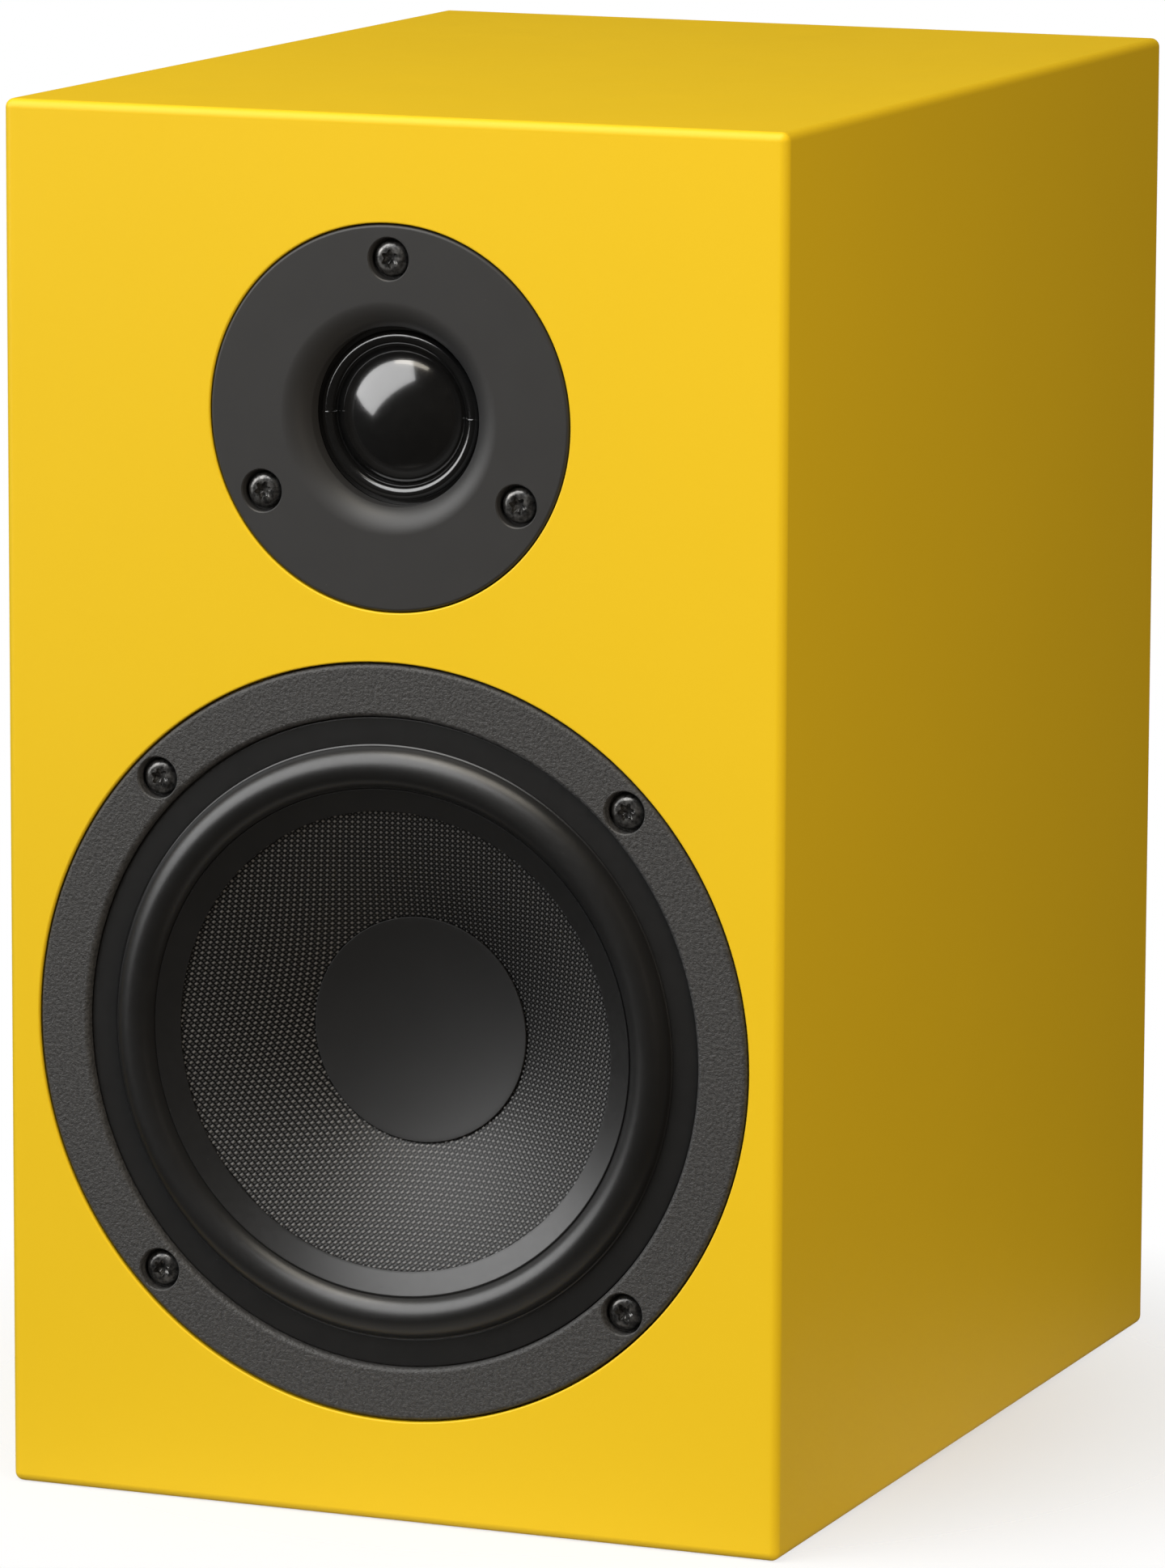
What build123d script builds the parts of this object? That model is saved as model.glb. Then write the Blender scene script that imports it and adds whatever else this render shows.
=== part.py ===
from build123d import *

"""Two-way bookshelf loudspeaker: lacquered MDF cabinet, dome tweeter, woven-cone woofer, rear port and terminals.

Frame, in millimetres: X across the cabinet, Y from the front to the back, Z up. The origin is the centre of the
cabinet's underside, so the front face is at Y = -cabinet_depth / 2. Each driver is drawn in its own frame, with
Y = 0 on the baffle's front face, +Y into the cabinet and the driver's axis on X = Z = 0.
"""

import os
from math import cos, pi, radians, sin, sqrt

# ---------------------------------------------------------------- driving dimensions
cabinet_width = 162.0
cabinet_height = 274.0
cabinet_depth = 217.0
edge_round = 1.8  # every outer edge of the lacquered cabinet
wrap_thickness = 12.0  # top, bottom and side panels
baffle_thickness = 16.0
rear_thickness = 12.0

# screws that hold the drivers: countersunk in the flange, driven into the baffle
screw_head_radius = 3.5
screw_head_height = 2.0
screw_shank_radius = 1.6
screw_end_depth = 15.0  # from the baffle's front face to the screw's point
screw_clearance = 0.3  # round the shank, in the flange
counterbore_clearance = 0.6  # round the head
pilot_clearance = 0.05
drive_socket_radius = 1.25
drive_lobe_radius = 0.42
drive_socket_depth = 1.2

# woofer
woofer_height = 94.6  # axis above the underside
woofer_flange_radius = 74.1
woofer_flange_thickness = 4.8
woofer_recess_gap = 0.4
woofer_gasket_thickness = 1.0
woofer_screw_circle = 69.0
woofer_screw_count = 4
woofer_screw_sink = 1.0  # head's top below the flange's front
woofer_step_radius = 63.9  # inner edge of the flange's front ring
basket_radius = 59.4  # the part that passes through the baffle
basket_clearance = 0.8
basket_wall = 2.2
basket_straight = 8.6  # depth where the basket begins to narrow
basket_rear_radius = 39.0
basket_rear_depth = 33.5
basket_rear_thickness = 2.0
basket_window_count = 6
basket_window_angle = 42.0
basket_chamfer = 5.0  # relief round the cut-out, behind the baffle

surround_lip_depth = 1.5
surround_lip_thickness = 0.9
surround_outer_crease = 56.3
surround_inner_crease = 49.35
surround_roll_base = 1.9
surround_roll_height = 3.9
surround_roll_thickness = 0.7
cone_edge_radius = 45.2  # where the bare weave begins
cone_rim_depth = 2.9
cone_thickness = 0.8
cone_mid_radius = 22.3
cone_mid_depth = 15.9
cone_neck_depth = 23.8
cap_thickness = 0.8
cap_dish = 2.7
tinsel_radius = 0.6

woofer_former_radius = 12.4  # inside
woofer_former_thickness = 0.3
woofer_former_start = 20.5
woofer_former_end = 43.0
woofer_coil_thickness = 0.6
woofer_coil_start = 29.0
woofer_coil_length = 13.0
woofer_gap_clearance = 0.35
woofer_pole_clearance = 0.3
woofer_top_plate_thickness = 5.0
woofer_magnet_radius = 36.0
woofer_magnet_thickness = 14.0
woofer_magnet_bore = 16.5
woofer_yoke_thickness = 4.5
woofer_yoke_inset = 2.0
woofer_vent_radius = 4.0
rivet_radius = 1.5
rivet_head_radius = 3.0
rivet_head_height = 0.9
rivet_circle = 26.0
rivet_count = 4

spider_thickness = 0.5
spider_depth = 28.0
spider_wave_start = 15.5
spider_wave_end = 31.5
spider_wave_count = 10
spider_wave_height = 1.1
spider_outer_radius = 35.5
spider_ledge_inner = 31.8

# tweeter
tweeter_height = 216.1
faceplate_radius = 37.1
faceplate_thickness = 4.0
faceplate_recess_gap = 0.3
tweeter_gasket_thickness = 1.0
tweeter_screw_circle = 30.55
tweeter_screw_count = 3
tweeter_screw_sink = 0.6
tweeter_hub_radius = 25.3
tweeter_hub_depth = 7.4
tweeter_cutout_radius = 27.0
waveguide_radius = 22.1
throat_radius = 17.35
throat_depth = 3.2
pocket_depth = 6.2
pocket_radius = 19.2
dome_radius = 13.3
dome_edge_depth = 6.4
dome_height = 6.2
dome_thickness = 0.3
dome_skirt_depth = 7.3
tweeter_roll_outer = 16.4
tweeter_roll_inner = 13.65
tweeter_roll_height = 1.4
tweeter_lip_thickness = 0.4
tweeter_roll_thickness = 0.3
tweeter_former_thickness = 0.2
tweeter_former_radius = 12.75
tweeter_coil_thickness = 0.3
tweeter_coil_length = 1.6
tweeter_top_plate_thickness = 3.0
tweeter_top_plate_radius = 25.0
tweeter_magnet_radius = 25.8
tweeter_magnet_bore = 15.5
tweeter_magnet_thickness = 9.0
tweeter_yoke_thickness = 4.0
tweeter_vent_radius = 3.0
tweeter_air_gap = 0.3

# flat connection blades and the crimped sockets that push onto them
blade_thickness = 0.8
blade_fit = 0.06
socket_wall = 0.9
woofer_blade_width = 4.8
tweeter_blade_width = 2.8
socket_length = 8.0
socket_barrel_radius = 1.6
socket_barrel_length = 5.0
wire_radius = 1.1
wire_inset = 5.0  # from the crossover board's edge
treble_wire_x = 41.0

# reflex port
port_height = 196.0
port_radius = 17.0
port_wall = 2.0
port_length = 92.0  # from the rear face inwards
port_flare = 8.0
port_flange_radius = 27.0
port_flange_thickness = 2.0
port_clearance = 0.3

# terminal cup, with its two binding posts
cup_height = 70.0
cup_plate_width = 78.0
cup_plate_height = 60.0
cup_plate_thickness = 2.5
cup_gasket_thickness = 0.5
cup_plate_corner = 5.0
cup_tray_width = 60.0
cup_tray_height = 42.0
cup_tray_corner = 6.0
cup_tray_depth = 22.0
cup_wall = 2.2
cup_floor = 3.0
cup_clearance = 0.8
cup_screw_inset = 5.2
cup_screw_radius = 1.45
cup_screw_head_radius = 2.8
cup_screw_head_height = 1.6
cup_screw_length = 11.0
post_spacing = 30.0
post_radius = 3.0  # M6 thread
post_base_radius = 6.0
post_base_height = 2.5
post_collar_radius = 4.6
post_collar_height = 1.5
post_stem_outside = 20.0
post_stem_inside = 13.0
post_socket_radius = 2.0  # takes a 4 mm plug
post_socket_depth = 12.5
post_wire_hole_radius = 1.4
clamp_washer_radius = 5.6
clamp_washer_thickness = 1.2
thread_clearance = 0.05
knob_radius = 7.0
knob_length = 17.0
knob_flute_count = 24
knob_flute_radius = 0.55
knob_bore_mouth = 3.4
nut_width = 10.0  # across its flats
nut_height = 4.5
lug_thickness = 0.8
lug_reach = 11.0

# crossover
board_width = 96.0
board_length = 74.0
board_thickness = 1.6
board_rear_gap = 23.5  # from the rear panel's inner face to the board
spacer_height = 6.0
spacer_radius = 3.5
board_screw_inset = 6.0
board_screw_radius = 1.5
board_screw_head_radius = 2.9
board_screw_head_height = 2.0
board_screw_grip = 8.0  # length in the bottom panel

wadding_thickness = 12.0
wadding_gap = 0.3
wadding_front_inset = 48.5  # from the front face
wadding_rear_inset = 18.5  # from the rear face
wadding_low = 40.0

# ---------------------------------------------------------------- derived places
FRONT = -cabinet_depth / 2
REAR = cabinet_depth / 2
FLOOR = wrap_thickness
board_centre_y = REAR - rear_thickness - board_rear_gap - board_length / 2
woofer_place = Pos(0, FRONT, woofer_height)
tweeter_place = Pos(0, FRONT, tweeter_height)
woofer_recess_radius = woofer_flange_radius + woofer_recess_gap
woofer_recess_depth = woofer_flange_thickness + woofer_gasket_thickness
woofer_cutout_radius = basket_radius + basket_clearance
tweeter_recess_radius = faceplate_radius + faceplate_recess_gap
tweeter_recess_depth = faceplate_thickness + tweeter_gasket_thickness
screw_hole_radius = screw_shank_radius + screw_clearance
pilot_radius = screw_shank_radius + pilot_clearance
counterbore_radius = screw_head_radius + counterbore_clearance


# ---------------------------------------------------------------- shared shapes
def turned(*lines):
    """A solid of revolution about the Y axis. The closed outline is drawn with X as radius and Y as depth."""
    return revolve(make_face(lines), Axis.Y, 360)


def ring(inner, outer, start, end):
    """A tube along Y."""
    return turned(Polyline((inner, start), (outer, start), (outer, end), (inner, end), close=True))


def rod(radius, start, end, x=0.0, z=0.0):
    """A solid cylinder along Y."""
    return Pos(x, (start + end) / 2, z) * Rot(90, 0, 0) * Cylinder(radius, end - start)


def block(low, high):
    """A box between two corners."""
    centre = [(a + b) / 2 for a, b in zip(low, high)]
    size = [b - a for a, b in zip(low, high)]
    return Pos(*centre) * Box(*size)


def prism(sketch, start, end):
    """A sketch of X and Z, run along Y."""
    return extrude(Plane(origin=(0, end, 0), x_dir=(1, 0, 0), z_dir=(0, -1, 0)) * sketch, end - start)


def on_circle(radius, count, first_angle):
    """X and Z of points spaced evenly on a circle."""
    angles = [radians(first_angle + 360 * k / count) for k in range(count)]
    return [(radius * cos(a), radius * sin(a)) for a in angles]


woofer_screw_points = on_circle(woofer_screw_circle, woofer_screw_count, 45)
tweeter_screw_points = on_circle(tweeter_screw_circle, tweeter_screw_count, 90)


def drive_screw(sink):
    """A pan-head wood screw with a six-lobe socket, its head's top at depth sink."""
    shoulder = sink + screw_head_height
    crown = 1.9
    side = shoulder - 0.7
    point = screw_end_depth
    head = turned(
        Line((0, sink), (crown, sink)),
        ThreePointArc((crown, sink), (3.05, sink + 0.45), (screw_head_radius, side)),
        Polyline((screw_head_radius, side), (screw_head_radius, shoulder), (screw_shank_radius, shoulder)),
        Polyline((screw_shank_radius, shoulder), (screw_shank_radius, point - 3), (0.2, point), (0, point)),
        Line((0, point), (0, sink)),
    )
    lobes = [Pos(x, z) * Circle(drive_lobe_radius) for x, z in on_circle(drive_socket_radius, 6, 0)]
    return head - prism(Circle(drive_socket_radius) + lobes, sink - 1, sink + drive_socket_depth)


def screw_group(sink, points):
    return Compound([Pos(x, 0, z) * drive_screw(sink) for x, z in points])


def flange_holes(points, sink):
    """What the screws' heads and shanks take out of a driver's flange."""
    shoulder = sink + screw_head_height
    heads = [rod(counterbore_radius, -1, shoulder, x, z) for x, z in points]
    shanks = [rod(screw_hole_radius, shoulder - 1, shoulder + 10, x, z) for x, z in points]
    return heads + shanks


def gasket(inner, outer, start, thickness, points):
    holes = [rod(screw_hole_radius, start - 1, start + thickness + 1, x, z) for x, z in points]
    return ring(inner, outer, start, start + thickness) - holes


# ---------------------------------------------------------------- cabinet
def cabinet_body():
    box = Pos(0, 0, cabinet_height / 2) * Box(cabinet_width, cabinet_depth, cabinet_height)
    return fillet(box.edges(), edge_round)


def slab(start, end):
    """The whole width and height of the cabinet between two depths."""
    return block((-cabinet_width, start, -1), (cabinet_width, end, cabinet_height + 1))


def wrap_panels(body):
    """Top, bottom and sides, mitred where they meet."""
    half, inner = cabinet_width / 2, cabinet_width / 2 - wrap_thickness
    top, ceiling = cabinet_height, cabinet_height - wrap_thickness
    start, end = FRONT + baffle_thickness, REAR - rear_thickness
    sections = {
        "top_panel": [(-half, top), (half, top), (inner, ceiling), (-inner, ceiling)],
        "bottom_panel": [(-half, 0), (half, 0), (inner, FLOOR), (-inner, FLOOR)],
        "left_side_panel": [(-half, 0), (-half, top), (-inner, ceiling), (-inner, FLOOR)],
        "right_side_panel": [(half, 0), (half, top), (inner, ceiling), (inner, FLOOR)],
    }
    panels = {}
    for name, corners in sections.items():
        panels[name] = body & prism(make_face(Polyline(*corners, close=True)), start, end)
    holes = [Pos(x, y, FLOOR) * Cylinder(board_screw_radius, 2 * board_screw_grip + 0.4) for x, y in board_points()]
    panels["bottom_panel"] -= holes
    return panels


def front_baffle(body):
    panel = body & slab(FRONT, FRONT + baffle_thickness)
    back = baffle_thickness
    relief = turned(
        Polyline(
            (0, back - basket_chamfer),
            (woofer_cutout_radius, back - basket_chamfer),
            (woofer_cutout_radius + basket_chamfer + 1, back + 1),
            (0, back + 1),
            close=True,
        )
    )
    woofer_cut = [rod(woofer_recess_radius, -1, woofer_recess_depth), rod(woofer_cutout_radius, 0, back + 1), relief]
    woofer_cut += [rod(pilot_radius, 1, screw_end_depth + 0.3, x, z) for x, z in woofer_screw_points]
    notch = block((-10, 1, -tweeter_cutout_radius - 5.5), (10, back + 1, 0))
    tweeter_cut = [rod(tweeter_recess_radius, -1, tweeter_recess_depth)]
    tweeter_cut += [rod(tweeter_cutout_radius, 0, back + 1), notch]
    tweeter_cut += [rod(pilot_radius, 1, screw_end_depth + 0.3, x, z) for x, z in tweeter_screw_points]
    return panel - [woofer_place * c for c in woofer_cut] - [tweeter_place * c for c in tweeter_cut]


def rear_panel(body):
    panel = body & slab(REAR - rear_thickness, REAR)
    port_hole = rod(port_radius + port_wall + port_clearance, REAR - rear_thickness - 1, REAR + 1, 0, port_height)
    cup_hole = Pos(0, 0, cup_height) * prism(
        RectangleRounded(cup_tray_width + 2 * cup_clearance, cup_tray_height + 2 * cup_clearance, cup_tray_corner),
        REAR - rear_thickness - 1,
        REAR + 1,
    )
    pilot, pilot_end = cup_screw_radius + pilot_clearance, REAR - rear_thickness + 0.5
    pilots = [rod(pilot, pilot_end, REAR + 1, x, z) for x, z in cup_points()]
    return panel - port_hole - cup_hole - pilots


# ---------------------------------------------------------------- woofer
former_outer = woofer_former_radius + woofer_former_thickness
coil_outer = former_outer + woofer_coil_thickness
woofer_plate_bore = coil_outer + woofer_gap_clearance
woofer_pole_radius = woofer_former_radius - woofer_pole_clearance
woofer_plate_end = basket_rear_depth + woofer_top_plate_thickness
woofer_magnet_end = woofer_plate_end + woofer_magnet_thickness
basket_rear_start = basket_rear_depth - basket_rear_thickness
spider_seat_depth = spider_depth + spider_thickness
terminal_boss_z = -(basket_rear_radius + 2.5)


def woofer_basket():
    """Flange, tapered cage and rear ring in one casting."""
    seat = surround_lip_depth + surround_lip_thickness
    bore = basket_radius - basket_wall
    flange = woofer_flange_thickness
    body = turned(
        Polyline(
            (woofer_step_radius, 0),
            (woofer_flange_radius - 0.4, 0),
            (woofer_flange_radius, 0.4),
            (woofer_flange_radius, flange),
            (basket_radius, flange),
            (basket_radius, basket_straight),
            (basket_rear_radius, spider_seat_depth),
            (basket_rear_radius, basket_rear_depth),
            (woofer_magnet_bore, basket_rear_depth),
            (woofer_magnet_bore, basket_rear_start),
            (spider_ledge_inner, basket_rear_start),
            (spider_ledge_inner, spider_seat_depth),
            (basket_rear_radius - 2.5, spider_seat_depth),
            (bore, basket_straight - 0.5),
            (bore, seat),
            (woofer_step_radius, seat),
            close=True,
        )
    )
    middle_window = turned(Polyline((30, 10.5), (70, 10.5), (70, 26), (30, 26), close=True))
    wedge_reach = 90.0
    half = radians(basket_window_angle / 2)
    wedge = make_face(
        Polyline(
            (0, 0),
            (wedge_reach * sin(half), wedge_reach * cos(half)),
            (-wedge_reach * sin(half), wedge_reach * cos(half)),
            close=True,
        )
    )
    wedges = [Rot(0, 360 * k / basket_window_count, 0) * prism(wedge, 0, 40) for k in range(basket_window_count)]
    boss = block((-8, spider_seat_depth + 0.5, terminal_boss_z), (8, basket_rear_depth, -basket_rear_radius + 2))
    rivets = [rod(rivet_radius, basket_rear_start - 1, basket_rear_depth + 1, x, z) for x, z in rivet_points()]
    body = body - [middle_window & w for w in wedges]
    return (body + boss) - flange_holes(woofer_screw_points, woofer_screw_sink) - rivets


def rivet_points():
    return on_circle(rivet_circle, rivet_count, 45)


def woofer_surround():
    """Rubber half roll, with an outer lip glued in the basket and an inner lip glued on the cone."""
    outer_lip, lip = woofer_step_radius - 0.2, surround_lip_depth
    thick, base, skin = surround_lip_thickness, surround_roll_base, surround_roll_thickness
    outer, inner = surround_outer_crease, surround_inner_crease
    middle, peak = (outer + inner) / 2, base - surround_roll_height
    inner_front, inner_back = cone_rim_depth - 0.7, cone_rim_depth - 0.1
    edge = cone_edge_radius
    return turned(
        Polyline((outer, base), (outer + 0.6, lip), (outer_lip, lip), (outer_lip, lip + thick)),
        Polyline((outer_lip, lip + thick), (outer + 1.2, lip + thick), (outer - skin, base + 0.4)),
        ThreePointArc((outer - skin, base + 0.4), (middle, peak + skin), (inner + skin, base + 0.4)),
        Polyline((inner + skin, base + 0.4), (inner, inner_back), (edge, inner_back), (edge, inner_front)),
        Polyline((edge, inner_front), (inner - 0.5, base + 0.1), (inner, base)),
        ThreePointArc((inner, base), (middle, peak), (outer, base)),
    )


def cone_arc(offset):
    """The cone's curved flank, moved back by offset."""
    neck = former_outer
    return ThreePointArc(
        (cone_edge_radius, cone_rim_depth + offset),
        (cone_mid_radius, cone_mid_depth + offset),
        (neck, cone_neck_depth + offset),
    )


def woofer_cone():
    """Pressed cone: a flat rim under the surround's lip, a flared flank and a neck glued round the former."""
    rim, back = cone_rim_depth, cone_rim_depth + cone_thickness
    rim_radius = surround_inner_crease - 0.2
    front, rear = cone_arc(0), cone_arc(cone_thickness)
    return turned(
        front,
        Line((former_outer, cone_neck_depth), (former_outer, cone_neck_depth + cone_thickness)),
        rear,
        Polyline((cone_edge_radius, back), (rim_radius, back), (rim_radius, rim), (cone_edge_radius, rim)),
    )


def woofer_dust_cap():
    """Dish, hollow towards the front, glued on the cone's flank."""
    outer, back = cone_mid_radius, cone_mid_depth - 0.1
    front = back - cap_thickness
    return turned(
        dish_arc(outer, front, front + cap_dish),
        Line((0, front + cap_dish), (0, back + cap_dish)),
        dish_arc(outer, back, back + cap_dish),
        Line((outer, back), (outer, front)),
    )


def dish_arc(rim_radius, rim, middle):
    """Arc from a dish's rim to its middle on the axis. The sphere it lies on is centred on the axis."""
    depth = middle - rim
    sphere = (rim_radius**2 + depth**2) / (2 * depth)
    half_way = middle - sphere + sqrt(sphere**2 - rim_radius**2 / 4) * (1 if depth > 0 else -1)
    return ThreePointArc((rim_radius, rim), (rim_radius / 2, half_way), (0, middle))


def woofer_spider():
    """Corrugated cloth disc between the former and the basket's rear ledge."""
    step = (spider_wave_end - spider_wave_start) / spider_wave_count
    crests = [(spider_wave_start, 0.0)]
    for k in range(spider_wave_count):
        side = spider_wave_height if k % 2 else -spider_wave_height
        crests += [(spider_wave_start + (k + 0.5) * step, side), (spider_wave_start + (k + 1) * step, 0.0)]
    back = spider_seat_depth
    front = spider_depth
    shift = spider_thickness
    waves_front = [(r, front + y) for r, y in crests]
    waves_back = [(r, front + shift + y) for r, y in reversed(crests)]
    outline = [(former_outer, front), *waves_front, (spider_outer_radius, front)]
    outline += [(spider_outer_radius, back), *waves_back, (former_outer, back)]
    return turned(Polyline(*outline, close=True))


def woofer_yoke():
    """Back plate and vented pole in one forging."""
    plate_radius = woofer_magnet_radius - woofer_yoke_inset
    front = basket_rear_depth - 0.5
    end = woofer_magnet_end + woofer_yoke_thickness
    return turned(
        Polyline(
            (woofer_vent_radius, front),
            (woofer_pole_radius - 0.6, front),
            (woofer_pole_radius, front + 0.6),
            (woofer_pole_radius, woofer_magnet_end),
            (plate_radius, woofer_magnet_end),
            (plate_radius, end - 1.0),
            (plate_radius - 1.0, end),
            (woofer_vent_radius + 2.5, end),
            (woofer_vent_radius, end - 2.5),
            close=True,
        )
    )


def woofer_rivets():
    """Heads in front of the basket's rear ring, shanks through it and the top plate."""
    front = basket_rear_start
    rivets = []
    for x, z in rivet_points():
        head = rod(rivet_head_radius, front - rivet_head_height, front, x, z)
        rivets.append(head + rod(rivet_radius, front, woofer_plate_end - 0.2, x, z))
    return Compound(rivets)


def woofer_top_plate():
    holes = [rod(rivet_radius + 0.05, basket_rear_depth - 1, woofer_plate_end + 1, x, z) for x, z in rivet_points()]
    return ring(woofer_plate_bore, woofer_magnet_radius, basket_rear_depth, woofer_plate_end) - holes


woofer_blade_z = terminal_boss_z - 3.5
woofer_board_start = basket_rear_depth
woofer_blade_places = [(x, woofer_board_start, woofer_blade_z) for x in (-4.5, 4.5)]


def blade(width, through, length):
    """A flat connection blade. It runs from `through` in front of its board to `length` behind the board's front."""
    return block((-width / 2, -through, -blade_thickness / 2), (width / 2, length, blade_thickness / 2))


def terminal_board(half_width, low, high, start, blades, blade_width):
    """A fibre board with a slot for each blade."""
    board = block((-half_width, start, low), (half_width, start + board_thickness, high))
    slot = block(
        (-blade_width / 2, -1, -blade_thickness / 2),
        (blade_width / 2, board_thickness + 1, blade_thickness / 2),
    )
    return board - [Pos(*place) * slot for place in blades]


def woofer_terminal_board():
    low, high = woofer_blade_z - 3.0, terminal_boss_z + 4.0
    return terminal_board(8.0, low, high, woofer_board_start, woofer_blade_places, woofer_blade_width)


def tube_along(points, radius, bend=None):
    """A round wire on straight runs and tangent arcs, each as large as its two runs allow unless bend is given."""
    corners = [Vector(*p) for p in points]
    radii = []
    for a, b, c in zip(corners, corners[1:], corners[2:]):
        half_turn = radians((b - a).get_angle(c - b)) / 2
        largest = 0.45 * min((b - a).length, (c - b).length) / sin(half_turn) * cos(half_turn)
        radii.append(min(largest, bend) if bend else largest)
    path = FilletPolyline(*corners, radius=radii)
    section = Plane(origin=path @ 0, z_dir=path % 0) * Circle(radius)
    tube = sweep(section, path=path)
    print("wire length", round(path.length, 1), "volume share", round(tube.volume / (pi * radius**2 * path.length), 4))
    return tube


def woofer_tinsel_leads():
    """Braided leads that bow from the cone's back, through the lowest window, to the blades."""
    start = cone_mid_depth + 1.3
    leads = []
    for x, _, z in woofer_blade_places:
        end = woofer_board_start - 3.1
        points = [
            (x, start, -cone_mid_radius),
            (x, start + 4.4, -cone_mid_radius - 1.0),
            (x, start + 5.6, -cone_mid_radius - 9.0),
            (x, start + 4.4, z + 1.0),
            (x, end - 3.5, z - 0.6),
            (x, end, z),
        ]
        leads.append(tube_along(points, tinsel_radius))
    return Compound(leads)


def woofer():
    sink, points = woofer_screw_sink, woofer_screw_points
    coil_end = woofer_coil_start + woofer_coil_length
    nodes = {
        "woofer_basket": woofer_basket(),
        "woofer_gasket": gasket(
            woofer_cutout_radius, woofer_flange_radius, woofer_flange_thickness, woofer_gasket_thickness, points
        ),
        "woofer_screws": screw_group(sink, points),
        "woofer_surround": woofer_surround(),
        "woofer_cone": woofer_cone(),
        "woofer_dust_cap": woofer_dust_cap(),
        "woofer_former": ring(woofer_former_radius, former_outer, woofer_former_start, woofer_former_end),
        "woofer_voice_coil": ring(former_outer, coil_outer, woofer_coil_start, coil_end),
        "woofer_spider": woofer_spider(),
        "woofer_top_plate": woofer_top_plate(),
        "woofer_rivets": woofer_rivets(),
        "woofer_magnet": ring(woofer_magnet_bore, woofer_magnet_radius, woofer_plate_end, woofer_magnet_end),
        "woofer_yoke": woofer_yoke(),
        "woofer_terminal_board": woofer_terminal_board(),
        "woofer_blades": Compound([Pos(*p) * blade(woofer_blade_width, 3.0, 10.0) for p in woofer_blade_places]),
        "woofer_tinsel_leads": woofer_tinsel_leads(),
    }
    return {name: woofer_place * solid for name, solid in nodes.items()}


# ---------------------------------------------------------------- tweeter
dome_former_outer = tweeter_former_radius + tweeter_former_thickness
dome_coil_outer = dome_former_outer + tweeter_coil_thickness
tweeter_plate_end = tweeter_hub_depth + tweeter_top_plate_thickness
tweeter_magnet_end = tweeter_plate_end + tweeter_magnet_thickness
tweeter_pole_radius = tweeter_former_radius - tweeter_air_gap
tweeter_blade_z = -(tweeter_hub_radius + 3.9)
tweeter_blade_places = [(x, faceplate_thickness, tweeter_blade_z) for x in (-4.5, 4.5)]
tweeter_notch = block((-10, 1, tweeter_blade_z - 3.2), (10, baffle_thickness + 1, -tweeter_hub_radius + 5))


def tweeter_faceplate():
    """Flat plate with a rounded waveguide in front and a hub behind that holds the motor."""
    plate = faceplate_thickness
    face = turned(
        ThreePointArc(
            (throat_radius, throat_depth),
            (throat_radius + 1.3, throat_depth * 0.3),
            (waveguide_radius, 0),
        ),
        Polyline(
            (waveguide_radius, 0),
            (faceplate_radius - 0.3, 0),
            (faceplate_radius, 0.3),
            (faceplate_radius, plate),
            (tweeter_hub_radius, plate),
            (tweeter_hub_radius, tweeter_hub_depth),
            (pocket_radius, tweeter_hub_depth),
            (pocket_radius, pocket_depth),
            (throat_radius, pocket_depth),
            (throat_radius, throat_depth),
        ),
    )
    return face - flange_holes(tweeter_screw_points, tweeter_screw_sink)


def tweeter_dome():
    """Soft dome with a short skirt glued inside the former's top."""
    edge, rise, thick = dome_edge_depth, dome_height, dome_thickness
    outer, inner = dome_radius, dome_radius - dome_thickness
    return turned(
        dish_arc(outer, edge, edge - rise),
        Line((0, edge - rise), (0, edge - rise + thick)),
        dish_arc(inner, edge, edge - rise + thick),
        Polyline((inner, edge), (inner, dome_skirt_depth - thick), (dome_former_outer, dome_skirt_depth - thick)),
        Polyline((dome_former_outer, dome_skirt_depth - thick), (dome_former_outer, dome_skirt_depth)),
        Polyline((dome_former_outer, dome_skirt_depth), (outer, dome_skirt_depth), (outer, edge)),
    )


def tweeter_surround():
    """Small half roll between the dome and the lip that the faceplate clamps."""
    outer, inner, base = tweeter_roll_outer, tweeter_roll_inner, dome_edge_depth
    lip, skin, rise = tweeter_lip_thickness, tweeter_roll_thickness, tweeter_roll_height
    middle = (outer + inner) / 2
    clamped = pocket_radius - 0.2
    return turned(
        ThreePointArc((inner, base), (middle, base - rise), (outer, base)),
        Polyline((outer, base), (clamped, base), (clamped, base + lip), (outer - skin, base + lip)),
        Line((outer - skin, base + lip), (outer - skin, base)),
        ThreePointArc((outer - skin, base), (middle, base - rise + skin), (inner + skin, base)),
        Polyline((inner + skin, base), (inner + skin, base + lip), (dome_radius, base + lip)),
        Polyline((dome_radius, base + lip), (dome_radius, base), (inner, base)),
    )


def tweeter_yoke():
    """Back plate and vented pole."""
    front, end = tweeter_hub_depth + 0.5, tweeter_magnet_end + tweeter_yoke_thickness
    plate_radius = tweeter_magnet_radius - 1.0
    return turned(
        Polyline(
            (tweeter_vent_radius, front),
            (tweeter_pole_radius, front),
            (tweeter_pole_radius, tweeter_magnet_end),
            (plate_radius, tweeter_magnet_end),
            (plate_radius, end - 0.8),
            (plate_radius - 0.8, end),
            (tweeter_vent_radius, end),
            close=True,
        )
    )


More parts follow.
